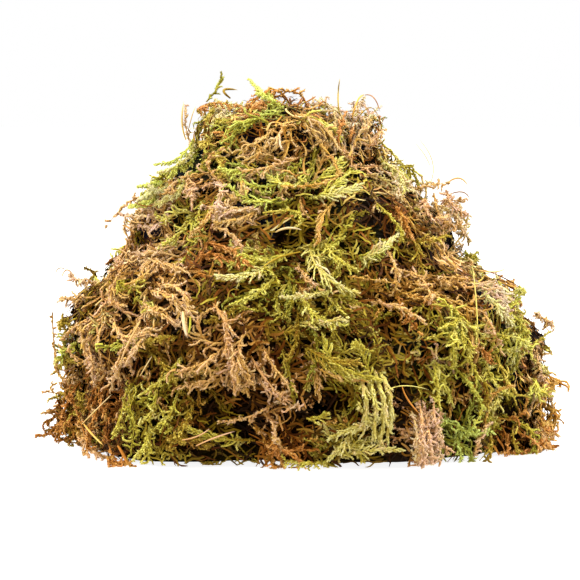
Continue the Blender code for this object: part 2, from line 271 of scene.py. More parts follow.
SHOWN = tuple(ShownShoot(*row) for row in (
    ("fern", "green", 290, 112, 250, 80, 3, 0.36, 6.0),
    ("fern", "green", 284, 112, 258, 94, -3, 0.34, 5.0),
    ("comb", "brown", 205, 132, 240, 106, 24, 0.42, 4.5),
    ("curls", "olive", 204, 136, 214, 106, 3, 0.55, 3.0),
    ("comb", "rust", 248, 124, 268, 101, 7, 0.55, 4.0),
    ("comb", "gold", 292, 112, 231, 154, 5, 0.95, 5.0),
    ("comb", "gold", 290, 114, 250, 158, 6, 0.90, 5.5),
    ("comb", "gold", 292, 112, 334, 139, 4, 0.95, 5.5),
    ("comb", "gold", 296, 118, 322, 150, 4, 0.80, 4.5),
    ("comb", "tan", 320, 148, 244, 171, 4, 0.75, 6.5),
    ("curls", "rust", 338, 148, 344, 116, 2, 0.75, 4.0),
    ("curls", "rust", 350, 144, 356, 122, 2, 0.70, 3.5),
    ("curls", "cream", 358, 148, 414, 190, 6, 0.95, 5.0),
    ("curls", "cream", 368, 160, 396, 194, 3, 0.90, 5.5),
    ("plume", "olive", 238, 134, 204, 162, 4, 0.80, 3.5),
    ("plume", "olive", 232, 124, 200, 144, 4, 0.70, 3.0),
    ("curls", "cream", 352, 128, 364, 98, 3, 0.60, 4.0),
    ("curls", "cream", 362, 136, 378, 108, 3, 0.60, 3.5),
    ("curls", "gold", 352, 152, 374, 118, 4, 0.80, 6.0),
    ("curls", "tan", 366, 154, 384, 130, 3, 0.80, 5.5),
    ("curls", "tan", 364, 144, 358, 112, -3, 0.80, 5.0),
    ("curls", "tan", 207, 152, 216, 210, 6, 0.95, 6.0),
    ("curls", "tan", 200, 160, 192, 200, 4, 0.85, 5.0),
    ("curls", "gold", 222, 160, 226, 200, 4, 0.80, 5.0),
    ("plume", "green", 290, 194, 226, 184, 14, 0.90, 5.0),
    ("plume", "green", 284, 182, 236, 178, 8, 0.85, 4.5),
    ("plume", "yellow_green", 308, 184, 266, 174, 5, 0.85, 5.0),
    ("plume", "olive", 228, 156, 258, 176, 4, 1.00, 3.0),
    ("plume", "pale_yellow", 262, 156, 292, 176, -4, 1.00, 3.0),
    ("plume", "green", 306, 156, 274, 178, 4, 1.00, 3.0),
    ("plume", "olive", 196, 150, 222, 174, 4, 1.00, 3.0),
    ("plume", "yellow_green", 318, 158, 300, 182, 4, 1.00, 3.5),
    ("plume", "green", 256, 170, 220, 168, 4, 0.80, 4.5),
    ("fern", "pale_yellow", 300, 198, 359, 185, -4, 0.75, 6.5),
    ("fern", "yellow_green", 304, 188, 342, 158, -3, 0.90, 5.5),
    ("fern", "yellow_green", 302, 204, 346, 176, -3, 0.85, 5.0),
    ("comb", "tan", 276, 198, 213, 214, 3, 0.65, 5.0),
    ("comb", "gold", 262, 206, 218, 222, 3, 0.60, 5.0),
    ("fern", "green", 186, 148, 130, 206, 16, 0.40, 5.0),
    ("fern", "pale_yellow", 192, 150, 138, 200, 10, 0.36, 6.5),
    ("plume", "pale_yellow", 196, 158, 158, 204, 8, 0.65, 5.0),
    ("fern", "green", 194, 138, 156, 164, 9, 0.45, 5.0),
    ("fern", "green", 186, 156, 138, 186, 9, 0.34, 5.5),
    ("fern", "pale_yellow", 178, 166, 140, 204, 8, 0.50, 5.0),
    ("fern", "pale_yellow", 196, 142, 158, 172, 8, 0.45, 5.0),
    ("fern", "green", 190, 150, 146, 186, 9, 0.42, 4.5),
    ("plume", "green", 200, 148, 170, 176, 5, 0.60, 3.5),
    ("comb", "tan", 184, 210, 124, 215, 4, 0.50, 5.0),
    ("comb", "tan", 193, 152, 185, 106, 3, 0.28, 3.5),
    ("comb", "tan", 172, 218, 134, 226, 4, 0.50, 3.5),
    ("comb", "rust", 392, 204, 410, 234, 3, 0.60, 4.5),
    ("curls", "tan", 402, 198, 448, 184, 5, 0.80, 4.0),
    ("curls", "tan", 436, 214, 464, 200, 6, 0.80, 4.5),
    ("curls", "cream", 456, 204, 470, 240, -5, 0.80, 6.0),
    ("curls", "pink_tan", 446, 190, 468, 214, -6, 0.80, 7.0),
    ("plume", "olive", 398, 238, 444, 236, -5, 0.80, 4.5),
    ("curls", "cream", 428, 204, 462, 222, 5, 0.80, 5.0),
    ("curls", "pink_tan", 420, 190, 446, 216, -5, 0.80, 5.5),
    ("plume", "yellow_green", 196, 212, 160, 246, 5, 0.90, 4.5),
    ("curls", "gold", 188, 240, 212, 210, 3, 0.50, 6.0),
    ("comb", "tan", 96, 270, 172, 320, -7, 0.95, 5.5),
    ("comb", "tan", 112, 260, 186, 308, -6, 0.95, 6.0),
    ("comb", "tan", 90, 290, 150, 330, -5, 0.90, 5.0),
    ("comb", "tan", 148, 262, 186, 322, -5, 0.85, 5.5),
    ("comb", "tan", 128, 246, 180, 268, -5, 0.75, 4.0),
    ("curls", "tan", 94, 292, 60, 298, 4, 0.70, 4.0),
    ("curls", "tan", 104, 282, 70, 276, 4, 0.60, 4.0),
    ("comb", "rust", 198, 242, 246, 262, 9, 0.60, 5.0),
    ("comb", "tan", 206, 226, 240, 244, 5, 0.60, 4.5),
    ("fern", "pale_yellow", 284, 256, 219, 276, 5, 0.62, 7.0),
    ("plume", "yellow_green", 280, 268, 236, 302, 6, 0.80, 5.5),
    ("plume", "yellow_green", 292, 248, 244, 256, 6, 0.90, 5.5),
    ("fern", "pale_yellow", 302, 230, 354, 292, -7, 1.00, 6.0),
    ("plume", "yellow_green", 322, 238, 352, 268, -4, 0.80, 5.0),
    ("plume", "yellow_green", 300, 286, 340, 324, -5, 0.90, 5.0),
    ("curls", "tan", 296, 262, 318, 288, -4, 0.60, 5.0),
    ("fern", "pale_yellow", 334, 289, 282, 297, 2, 0.30, 7.0),
    ("comb", "gold", 336, 198, 318, 238, 3, 0.60, 4.5),
    ("plume", "pale_yellow", 290, 322, 346, 318, -3, 0.70, 5.5),
    ("fern", "pale_yellow", 352, 264, 401, 233, -3, 0.70, 6.5),
    ("curls", "tan", 392, 268, 430, 300, 5, 0.80, 5.0),
    ("curls", "rust", 394, 290, 418, 332, 4, 0.75, 5.0),
    ("comb", "tan", 350, 298, 422, 320, 4, 0.50, 6.0),
    ("comb", "tan", 384, 246, 396, 286, 3, 0.60, 5.0),
    ("comb", "yellow_green", 438, 276, 452, 366, 8, 0.90, 5.5),
    ("comb", "yellow_green", 458, 280, 476, 374, -6, 0.90, 5.5),
    ("comb", "olive", 488, 286, 514, 392, -10, 0.95, 5.0),
    ("comb", "yellow_green", 512, 294, 542, 392, -12, 0.90, 4.5),
    ("plume", "yellow_green", 470, 264, 524, 291, -5, 0.70, 4.0),
    ("comb", "tan", 500, 268, 549, 322, -6, 0.60, 3.5),
    ("curls", "tan", 470, 300, 500, 348, 5, 0.80, 5.0),
    ("curls", "yellow_green", 484, 352, 512, 396, -8, 0.85, 5.0),
    ("curls", "pale_yellow", 520, 320, 548, 372, -8, 0.75, 4.0),
    ("curls", "tan", 536, 324, 552, 404, -6, 0.60, 4.0),
    ("curls", "rust", 462, 340, 492, 362, 5, 0.70, 4.5),
    ("comb", "tan", 152, 322, 121, 364, 3, 0.60, 6.0),
    ("plume", "olive", 184, 338, 135, 348, -5, 0.55, 5.0),
    ("comb", "tan", 188, 298, 238, 388, 14, 0.85, 6.0),
    ("comb", "tan", 212, 326, 248, 388, 8, 0.90, 6.5),
    ("comb", "tan", 226, 344, 176, 370, 7, 0.80, 6.5),
    ("comb", "tan", 232, 362, 182, 386, 7, 0.75, 6.0),
    ("comb", "pink_tan", 210, 300, 226, 350, 6, 0.70, 5.5),
    ("plume", "olive", 148, 352, 178, 390, 5, 0.80, 4.5),
    ("plume", "yellow_green", 184, 352, 142, 394, 5, 0.80, 4.5),
    ("curls", "pink_tan", 248, 350, 298, 410, -6, 1.00, 6.5),
    ("curls", "tan", 262, 344, 292, 386, -4, 0.85, 6.0),
    ("curls", "tan", 276, 402, 222, 422, 5, 0.60, 5.5),
    ("fern", "yellow_green", 304, 350, 376, 378, -6, 0.95, 6.5),
    ("fern", "olive", 302, 344, 356, 362, -4, 0.90, 6.0),
    ("comb", "gold", 312, 364, 362, 378, -6, 0.50, 5.5),
    ("ridge", "pale_yellow", 356, 366, 364, 426, 6, 0.62, 6.5),
    ("ridge", "pale_yellow", 363, 364, 373, 432, 7, 0.66, 7.0),
    ("ridge", "pale_yellow", 370, 364, 381, 436, 8, 0.66, 7.0),
    ("ridge", "pale_yellow", 376, 366, 388, 434, 9, 0.62, 6.5),
    ("fern", "pale_yellow", 398, 416, 330, 438, -6, 0.60, 6.5),
    ("fern", "pale_yellow", 336, 458, 400, 450, 4, 0.62, 5.0),
    ("fern", "pale_yellow", 350, 430, 330, 458, 4, 0.55, 5.5),
    ("fern", "yellow_green", 248, 441, 190, 430, 5, 0.80, 5.5),
    ("plume", "yellow_green", 330, 462, 286, 460, 3, 0.80, 4.5),
    ("curls", "rust", 268, 442, 300, 460, 0, 0.80, 5.0),
    ("comb", "tan", 286, 452, 274, 430, 2, 0.50, 5.5),
    ("curls", "yellow_green", 178, 388, 152, 430, 8, 0.85, 5.5),
    ("curls", "yellow_green", 158, 384, 136, 428, 7, 0.80, 5.5),
    ("curls", "olive", 188, 404, 168, 446, 8, 0.85, 5.0),
    ("curls", "yellow_green", 160, 424, 148, 460, -6, 0.80, 4.5),
    ("fern", "yellow_green", 150, 424, 134, 458, 5, 0.60, 5.0),
    ("curls", "rust", 112, 390, 86, 450, -6, 0.90, 5.0),
    ("curls", "rust", 84, 378, 62, 420, -4, 0.80, 4.5),
    ("cushion", "rust", 78, 404, 50, 430, 5, 0.90, 3.0),
    ("cushion", "tan", 66, 398, 46, 412, 3, 0.80, 2.0),
    ("curls", "rust", 58, 400, 56, 438, 4, 0.80, 3.0),
    ("curls", "olive", 70, 398, 72, 444, -4, 0.80, 3.0),
    ("cushion", "rust", 62, 404, 44, 424, 3, 0.80, 1.5),
    ("cushion", "brown", 74, 426, 46, 430, 3, 0.80, 1.5),
    ("cushion", "olive", 76, 384, 52, 398, 3, 0.80, 3.0),
    ("curls", "tan", 82, 366, 54, 384, 4, 0.70, 3.5),
    ("curls", "olive", 84, 356, 56, 372, -4, 0.70, 3.5),
    ("curls", "green", 80, 340, 58, 352, 3, 0.70, 3.5),
    ("cushion", "brown", 70, 396, 48, 420, 6, 0.90, 3.0),
    ("cushion", "brown", 84, 410, 50, 410, 5, 0.90, 3.5),
    ("cushion", "rust", 88, 420, 54, 434, -4, 0.90, 3.5),
    ("cushion", "brown", 80, 434, 58, 438, 4, 0.90, 3.0),
    ("plume", "green", 92, 346, 56, 362, -4, 0.70, 4.0),
    ("comb", "rust", 92, 424, 130, 464, 4, 0.60, 5.0),
    ("cushion", "pink_tan", 418, 398, 420, 460, 5, 1.05, 5.0),
    ("cushion", "pink_tan", 430, 402, 432, 462, -4, 1.05, 5.5),
    ("cushion", "pink_tan", 442, 408, 440, 460, -5, 0.95, 5.0),
    ("curls", "cream", 410, 408, 414, 458, 5, 0.75, 5.0),
    ("cushion", "pink_tan", 424, 414, 424, 464, -4, 1.00, 5.5),
    ("cushion", "cream", 436, 416, 436, 462, 4, 1.00, 5.0),
    ("cushion", "tan", 414, 424, 418, 462, 4, 0.95, 4.5),
    ("curls", "pink_tan", 434, 394, 448, 452, -6, 0.75, 6.5),
    ("plume", "blue_green", 452, 426, 490, 432, -4, 0.60, 6.5),
    ("plume", "green", 456, 442, 482, 410, -4, 0.60, 6.0),
    ("plume", "blue_green", 458, 430, 462, 460, -2, 0.65, 6.0),
    ("cushion", "rust", 488, 420, 550, 440, -9, 0.95, 3.0),
    ("cushion", "brown", 490, 448, 540, 456, -7, 0.90, 3.0),
    ("cushion", "rust", 506, 436, 552, 430, 7, 0.90, 3.5),
    ("cushion", "gold", 510, 418, 550, 424, -6, 0.90, 3.5),
    ("cushion", "rust", 504, 450, 550, 444, 6, 0.95, 3.5),
    ("cushion", "tan", 524, 428, 556, 434, -3, 0.80, 2.0),
    ("curls", "rust", 500, 424, 506, 460, 5, 0.80, 3.0),
    ("curls", "olive", 514, 420, 522, 458, -5, 0.80, 3.5),
    ("curls", "tan", 530, 416, 538, 452, 5, 0.80, 3.5),
    ("curls", "rust", 543, 414, 549, 448, -4, 0.80, 3.0),
    ("curls", "olive", 488, 430, 486, 462, 4, 0.80, 3.5),
    ("cushion", "rust", 528, 440, 556, 446, -3, 0.80, 1.5),
    ("cushion", "brown", 484, 458, 538, 456, -5, 0.95, 3.0),
    ("cushion", "rust", 478, 462, 530, 462, -3, 0.80, 2.0),
    ("comb", "tan", 472, 464, 488, 424, 2, 0.35, 6.0),
    ("plume", "green", 448, 364, 482, 404, 4, 0.85, 5.0),
    ("curls", "tan", 78, 330, 96, 384, 5, 0.90, 4.5),
    ("plume", "olive", 94, 326, 60, 368, -5, 0.85, 4.0),
    ("comb", "tan", 120, 330, 112, 386, 4, 0.70, 5.0),
    ("comb", "yellow_green", 430, 356, 438, 400, 3, 0.80, 5.0),
    ("plume", "pale_yellow", 376, 158, 404, 190, 5, 0.75, 7.0),
    ("curls", "olive", 90, 308, 60, 322, 4, 0.80, 3.0),
    ("curls", "tan", 92, 318, 64, 338, -3, 0.80, 3.5),
    ("curls", "tan", 470, 284, 506, 306, 5, 0.85, 4.5),
    ("curls", "pale_yellow", 480, 282, 512, 322, 4, 0.85, 4.0),
))


class BareStem(NamedTuple):
    """A bare stem, needle or thread. Its root, middle and tip are pixels, across and down."""

    shade: str
    light: float
    root_across: int
    root_down: int
    middle_across: int
    middle_down: int
    tip_across: int
    tip_down: int
    thickness: float  # in millimetres
    lift: float  # how far it stands off the skin, in millimetres


STEMS = tuple(BareStem(*row) for row in (
    ("olive", 1.0, 340, 116, 338, 98, 340, 78, 0.45, 4.0),
    ("gold", 0.8, 352, 118, 358, 100, 365, 95, 0.55, 4.0),
    ("rust", 0.7, 365, 95, 374, 98, 380, 112, 0.35, 4.0),
    ("olive", 0.8, 354, 126, 368, 108, 378, 116, 0.35, 3.0),
    ("brown", 0.9, 296, 112, 302, 98, 306, 104, 0.40, 3.0),
    ("brown", 1.2, 302, 104, 310, 100, 316, 96, 0.45, 3.0),
    ("brown", 0.9, 318, 112, 322, 102, 330, 106, 0.45, 3.0),
    ("cream", 0.9, 186, 140, 182, 122, 184, 101, 0.55, 4.0),
    ("cream", 0.7, 188, 132, 192, 116, 196, 106, 0.30, 3.0),
    ("brown", 0.8, 208, 134, 210, 122, 214, 114, 0.60, 3.0),
    ("olive", 0.6, 230, 98, 224, 90, 238, 90, 0.80, 4.0),
    ("cream", 1.0, 430, 184, 432, 160, 415, 135, 0.22, 5.0),
    ("cream", 1.0, 430, 166, 424, 154, 414, 142, 0.20, 5.0),
    ("tan", 1.0, 444, 186, 458, 178, 468, 186, 0.50, 4.0),
    ("brown", 0.9, 446, 196, 462, 192, 470, 200, 0.35, 4.0),
    ("tan", 0.9, 470, 268, 492, 272, 506, 268, 0.50, 4.0),
    ("brown", 0.6, 476, 268, 500, 276, 524, 290, 0.40, 4.0),
    ("cream", 1.5, 183, 312, 184, 324, 187, 337, 1.00, 6.5),
    ("green", 1.2, 190, 316, 190, 326, 188, 334, 0.60, 6.5),
    ("tan", 1.2, 140, 322, 128, 344, 120, 364, 0.60, 7.0),
    ("cream", 1.1, 82, 424, 98, 408, 112, 394, 0.40, 6.5),
    ("gold", 1.1, 84, 424, 92, 434, 104, 446, 0.60, 6.5),
    ("pink_tan", 1.3, 196, 446, 214, 438, 236, 431, 0.45, 7.0),
    ("pink_tan", 1.2, 182, 440, 198, 436, 210, 428, 0.40, 7.0),
    ("cream", 1.2, 140, 376, 146, 366, 152, 356, 0.35, 7.0),
    ("cream", 1.4, 276, 232, 288, 228, 302, 230, 0.70, 6.5),
    ("rust", 1.0, 118, 446, 124, 456, 128, 466, 0.90, 4.0),
    ("pale_yellow", 1.0, 478, 342, 476, 300, 472, 264, 0.40, 6.0),
    ("pale_yellow", 1.2, 382, 396, 400, 386, 430, 390, 0.30, 7.0),
    ("rust", 1.1, 402, 386, 408, 400, 420, 414, 0.50, 6.0),
    ("olive", 1.0, 300, 252, 278, 258, 262, 268, 0.60, 7.0),
    ("brown", 0.8, 132, 200, 144, 206, 156, 204, 0.35, 5.0),
    ("tan", 1.0, 128, 216, 134, 222, 146, 222, 0.35, 4.0),
    ("tan", 0.9, 62, 276, 68, 270, 76, 280, 0.45, 4.0),
    ("olive", 0.8, 56, 272, 60, 268, 66, 270, 0.35, 5.0),
))


class Swell(NamedTuple):
    """Where the growth stands out from the tufts, or sinks in: the pixel and the reach in pixels."""

    across: int
    down: int
    reach: int
    rise: float  # how far out, in millimetres


SWELLS = tuple(Swell(*row) for row in (
    (134, 198, 16, -7.0), (118, 232, 16, -2.5), (450, 222, 22, 4.5), (428, 186, 15, 6.0),
    (462, 236, 12, 5.0), (62, 312, 13, 4.0), (498, 276, 22, -6.5), (520, 306, 12, -2.0),
    (550, 340, 16, 5.0), (554, 392, 36, 4.2), (538, 444, 30, 4.5), (52, 420, 26, 4.5),
    (52, 382, 18, 4.0), (54, 338, 12, -3.0), (100, 262, 18, -1.5), (386, 104, 14, -4.0),
    (322, 100, 18, -3.0), (222, 92, 14, -4.0), (496, 272, 16, -3.0), (164, 156, 18, 4.0),
))
GAP_DEPTH = 4.0  # how far the growth sinks in at a dark gap, in millimetres

# What grows on the sides that the photograph doesn't show: how often each shade and kind comes
PATCH_MIX = (
    ("tan", "comb", 0.20), ("tan", "curls", 0.14), ("yellow_green", "plume", 0.16),
    ("yellow_green", "comb", 0.09), ("green", "plume", 0.09), ("olive", "plume", 0.07),
    ("rust", "curls", 0.08), ("gold", "comb", 0.05), ("pink_tan", "curls", 0.04),
    ("cream", "curls", 0.03), ("brown", "cushion", 0.02), ("brown", "", 0.03),
)
# Those sides' patches: how many are drawn for the whole heap and from how many ways, how far from the
# shown ones they keep, how far to the front they may be, and the range of their ways in degrees
HIDDEN_PATCHES = 150
HIDDEN_CANDIDATES = 3000
HIDDEN_APART = 9 * MM
HIDDEN_FRONT = -35 * MM
HIDDEN_TURN = (-165, -15)
PATCH_SEED = 31

PATCH_REACH = (5.0 * MM, 9.5 * MM)
PATCH_RAGGED = 0.95  # how far, in shares of its reach, a patch's shoots mix with the next patch's
PATCH_BORDER = 1.25  # where the growth is as low and dim as it gets, in shares of the reach
CROWN_PAINTED_LIGHT = 0.14  # how much more painted light the growth of the crown gets
CROWN_LIGHT_FROM = 25 * MM  # the height from which its painted light rises
CROWN_LIGHT_OVER = 40 * MM  # the height over which it does

# The shoots that stand out on the front: their light, painted light on shoots that lie uppermost,
# how far in radians they roll about their stems, and the longest that they may be, where a way
# towards or from the camera counts for more
SHOWN_LIGHT = 1.17
SHOWN_ROLL = 0.25
LONGEST_SHOOT = 26 * MM
DEPTH_COUNTS = 0.8
# How far such a shoot strays sideways: the spread and the most of it, as shares of the depth that it
# spans, of which a first part doesn't count and the rest counts up to a most
DEPTH_STRAY = 0.32
DEPTH_STRAY_MOST = 0.5
DEPTH_FREE = 9 * MM
DEPTH_MOST = 10 * MM
SMOOTHINGS = 3  # how often each point of a stem is drawn between its neighbours
STRAY_SEED = 9
ROLL_SEED = 5

# The filling shoots: from how many points of the skin they grow, how far each root is scattered, and
# how far it lies behind the middle, as a share of the length
FILL_CANDIDATES = 9000
FILL_SCATTER = 1.2 * MM
FILL_BEHIND = 0.45
FILL_TURN = 50.0  # how far, in degrees, one strays from the way of its patch
COMBED = 0.7  # the share of that in a combed patch
FILL_LENGTH = (10 * MM, 18 * MM)
FILL_LIFT = (-2.2 * MM, 1.4 * MM)
FILL_SIZE = (0.75, 1.05)
FILL_LIGHT = (0.96, 0.13)  # the mean and the spread
FILL_LIGHT_RANGE = (0.55, 1.30)
FILL_MIXED = 0.14  # how many have the shade of another patch
FILL_ROLL = 0.5  # how far, in radians, one rolls about its stem
LEVEL = 0.3  # the share of that in a cushion
FILL_SHADE_SPREAD = 0.035
GAP_CLEAR = 0.70  # how much of a dark gap's reach is kept clear of them
BULGE = 5.2 * MM  # how far the middle of a patch stands out over its border
FLOOR_TUCK = 1.6 * MM  # how far the growth nearest to the floor is drawn in
LOW_GROWTH = 14 * MM  # under this height, ways that point down are laid flatter
FLATTER = 0.2  # as steep as they were

# The sprays that stand out of the tufts: how far out their corners are, how far out the tip of one is
# that gets a shoot, how far its corners are from the tip, how many are looked for on a tuft, and the
# size of their branches
SPRAY_OUT = 2.0 * MM
SPRAY_TIP_OUT = 4.5 * MM
SPRAY_REACH = 17 * MM
SPRAYS_A_TUFT = 2
SPRAY_SIZE = (0.45, 0.60)

# The thatch under the shoots: the lengths, widths and depths of its branches, how many points each
# has, how far it strays from the way of its patch in degrees, how much of it is old, its light, which
# is painted shade under the shoots, how far its middle is scattered, how far it snakes, and how many
# points of the skin it is drawn from
THATCH_LENGTH = (4.5 * MM, 8.5 * MM)
THATCH_RADIUS = (0.20 * MM, 0.42 * MM)
THATCH_LIFT = (-3.2 * MM, -0.4 * MM)
THATCH_POINTS = 6
THATCH_TURN = 45.0
THATCH_OLD = 0.35
THATCH_LIGHT = (0.06, 0.72)
THATCH_SCATTER = 1.0 * MM
THATCH_WAVE = (0.2, 0.8)
THATCH_CANDIDATES = 27000

# How light the parts are painted, as a value at 0 and how much more it is at 1, all painted shade:
# along a branch from its root, darker where branches crowd, to its tip; from ways that face into the
# heap, darker where they turn from the light, to ways that face out; and from the border of a patch,
# darker where the tufts meet, to its middle
TUBE_ALONG, TUBE_OUTER = (0.56, 0.36), (0.52, 0.60)
STRIP_ALONG = (0.50, 0.42)
LEAF_ALONG, LEAF_OUTER = (0.74, 0.38), (0.66, 0.48)
PATCH_INNER = (0.74, 0.48)
# How much the tips bleach, in the same way, and how much more the points of leaves and a few white
# leaves do: partly the paler tips of the moss, partly painted highlight, as the tips pale more where
# the painted light is higher; the few white leaves serve as painted glints
BRANCH_TIPS = (0.04, 0.26)
LEAF_TIPS = (0.06, 0.22)
LEAF_POINT = 0.24
LEAF_WHITE_GLINT = 0.18

# The branches: where in its own step each leaves the stem, how its angle, length, thickness and wave
# vary, and the mean and the spread of its rise, curl and light, each as a share of the kind's
BRANCH_PLACE = (0.2, 0.8)
BRANCH_ANGLE = (0.75, 1.25)
BRANCH_LENGTH = (0.72, 1.15)
BRANCH_THICKNESS = (0.8, 1.15)
BRANCH_WAVE = (0.5, 1.5)
BRANCH_RISE = (0.35, 1.0)
BRANCH_CURL = (1.0, 0.55)
BRANCH_LIGHT = (1.0, 0.16)
BRANCH_LIGHT_RANGE = (0.6, 1.45)
BRANCH_SHADE_SPREAD = 0.030
LAST_ANGLE = 0.05  # in radians, of the branch that carries on from the tip
DOWN = np.array((0.0, 0.0, -1.0))
# Where branches bend to: how much of it is ahead, away from the stem, down and out of the skin
PULL_AHEAD, PULL_ASIDE, PULL_DOWN, PULL_OUT = 0.5, -0.3, 0.35, -0.12

# The leaves: how their lean and size vary, how far their feet are from the middle of the branch, as
# a share of its radius, and the spreads of their shade and light
LEAF_LEAN = (0.7, 1.3)
LEAF_SIZE = (0.75, 1.2)
LEAF_FOOT = 0.85
LEAF_SHADE_SPREAD = 0.012
LEAF_LIGHT = (1.0, 0.13)
LEAF_LIGHT_RANGE = (0.4, 1.5)
GOLDEN_TURN = math.radians(137.5)  # from a leaf to the next one up the branch
ANY_PHASE = (0, 6.3)  # a turn of the circle at random, in radians
AGE_AND_SHADE_DEPTH = 6 * MM  # how far under the skin the moss is as old, and as deep in painted shade, as it gets
# The matted body's light and age: painted shade inside the tufts
BODY_LIGHT = 0.55
BODY_AGE_AND_SHADE = 0.6
LEAST_AREA = 1e-10  # twice the area of the smallest triangle that the matted body keeps

# The powers of the light value by which red, green and blue dim, so that parts in painted shade are
# warmer, and the powers of red, green and blue by which a shade bleaches at the tips, which the
# painted light then scales into painted highlights
DARK_WARMTH = (0.78, 0.98, 1.80)
TIP_PALING_AND_HIGHLIGHT = (0.77, 0.73, 0.64)
PALEST = 0.54  # no part of the moss has more red or green than this
AGED_AND_SHADED = (0.28, 0.12, 0.03, 1.0)  # what the oldest moss, deepest in the heap, is multiplied by: browner with age, darker as painted shade
SPECKLED = (0.42, 0.34, 0.24, 1.0)  # what its darkest specks are multiplied by
SHEEN_TINT = (1.0, 0.80, 0.45, 1.0)
SKY_TINT = (1.0, 0.87, 0.66, 1.0)  # of the light that the sky sends into the gaps
WHITE = (1.0, 1.0, 1.0, 1.0)
# How many waves in a metre the drift of the shades and the fine specks have, and their detail
BLOTCHES = (210.0, 2.0)
SPECKS = (1900.0, 1.0)
GRAIN_DEPTH = 0.2 * MM  # of the grain of the leaves and branches
STRAND_DEPTH = 1.2 * MM  # of the strands of the matted body

# The stage
FLOOR_REACH = 6.0  # to each side
FLOOR_COLOUR = (0.30, 0.30, 0.30, 1.0)
FLOOR_GLOW = 0.90
LAMPS_AIM = (0.0, 0.0, 0.04)


class MossSizes(bpy.types.PropertyGroup):
    """The sizes of the moss."""

    shoots: bpy.props.IntProperty(
        name="Filling shoots",
        description="How many shoots cover the heap between those that stand out",
        default=1020, min=0, soft_max=1200,
    )
    thatch: bpy.props.IntProperty(
        name="Thatch",
        description="How many flattened old branches lie under the shoots",
        default=14000, min=100, soft_max=20000,
    )
    branch_size: bpy.props.FloatProperty(
        name="Branch size",
        description="The length and thickness of the branches, as a share of the usual",
        default=1.0, min=0.3, max=2.0, subtype="FACTOR",
    )
    leaf_size: bpy.props.FloatProperty(
        name="Leaf size",
        description="The length and width of the leaves, as a share of the usual",
        default=1.0, min=0.3, max=2.0, subtype="FACTOR",
    )
    stem_radius: bpy.props.FloatProperty(
        name="Stem radius",
        description="The radius of a shoot's stem near its root",
        default=0.42 * MM, min=0.1 * MM, max=1.0 * MM, unit="LENGTH", precision=5,
    )
    body_depth: bpy.props.FloatProperty(
        name="Matted body",
        description="How far under the skin of the heap the matted inside of the tufts lies",
        default=3.2 * MM, min=0.0, max=10.0 * MM, unit="LENGTH", precision=5,
    )
    seed: bpy.props.IntProperty(
        name="Seed", description="The seed of every random draw", default=7, min=0
    )


def painted(name, red, green, blue):
    """A colour property whose default is given as it shows on a screen, from 0 to 255."""
    shown = np.array((red, green, blue)) / 255
    linear = np.where(shown <= 0.04045, shown / 12.92, ((shown + 0.055) / 1.055) ** 2.4)
    return bpy.props.FloatVectorProperty(
        name=name, description=f"The colour of the {name.lower()} moss", subtype="COLOR",
        size=3, min=0.0, max=1.0, default=tuple(float(part) for part in linear),
    )


class MossColours(bpy.types.PropertyGroup):
    """The shades of the moss."""

    blue_green: painted("Blue green", 142, 152, 62)
    green: painted("Green", 158, 161, 60)
    yellow_green: painted("Yellow green", 191, 183, 70)
    pale_yellow: painted("Pale yellow", 212, 208, 126)
    cream: painted("Cream", 240, 215, 164)
    pink_tan: painted("Pinkish tan", 232, 187, 150)
    tan: painted("Tan", 232, 195, 141)
    gold: painted("Gold", 229, 192, 108)
    rust: painted("Rust", 192, 132, 64)
    brown: painted("Brown", 128, 76, 26)
    olive: painted("Olive", 166, 147, 50)


class StudioSettings(bpy.types.PropertyGroup):
    """The stage round the clump."""

    key_power: bpy.props.FloatProperty(
        name="Key light", description="The power of the main lamp", default=10.0, min=0.0, unit="POWER"
    )
    side_power: bpy.props.FloatProperty(
        name="Side lights", description="The power of the two side lamps", default=17.0, min=0.0, unit="POWER"
    )
    back_power: bpy.props.FloatProperty(
        name="Back light", description="The power of the lamp behind", default=14.0, min=0.0, unit="POWER"
    )
    sky: bpy.props.FloatProperty(
        name="Sky", description="The strength of the even light from all round", default=1.48, min=0.0
    )


# Arithmetic that the parts share


def unit(vectors):
    """The vectors at length 1."""
    return vectors / np.linalg.norm(vectors, axis=-1, keepdims=True).clip(1e-9)


def directions(rise, around):
    """Unit vectors from the angle above level and the angle round +Z, from +X."""
    return np.stack((np.cos(rise) * np.cos(around), np.cos(rise) * np.sin(around), np.sin(rise)), -1)


def graded(span, place):
    """A value that is span[0] at place 0 and span[1] more at place 1."""
    return span[0] + span[1] * place


def curve_through(start, middle, end, along):
    """A curve of the second degree that passes through three places at 0, a half and 1: a (1 - t)^2
    + 2 b t (1 - t) + c t^2, with b = 2 middle - (a + c) / 2."""
    bend = 2 * middle - (start + end) / 2
    return start * (1 - along) ** 2 + 2 * along * (1 - along) * bend + end * along**2


def columns(rows, *fields):
    """These fields of rows with named fields, as an array with one row each."""
    return np.array([[getattr(row, field) for field in fields] for row in rows], float)


# The skin of the heap


@functools.cache
def tuft_corners():
    """The corners of all the tufts, each once, and the number of the tuft that each belongs to."""
    corners, owners = [], []
    for number, name in enumerate(TUFTS):
        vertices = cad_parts[name].data.vertices
        places = np.empty(len(vertices) * 3, np.float32)
        vertices.foreach_get("co", places)
        places = np.unique(places.reshape(-1, 3).round(5), axis=0)
        corners.append(places)
        owners.append(np.full(len(places), number))
    return np.concatenate(corners).astype(float), np.concatenate(owners)


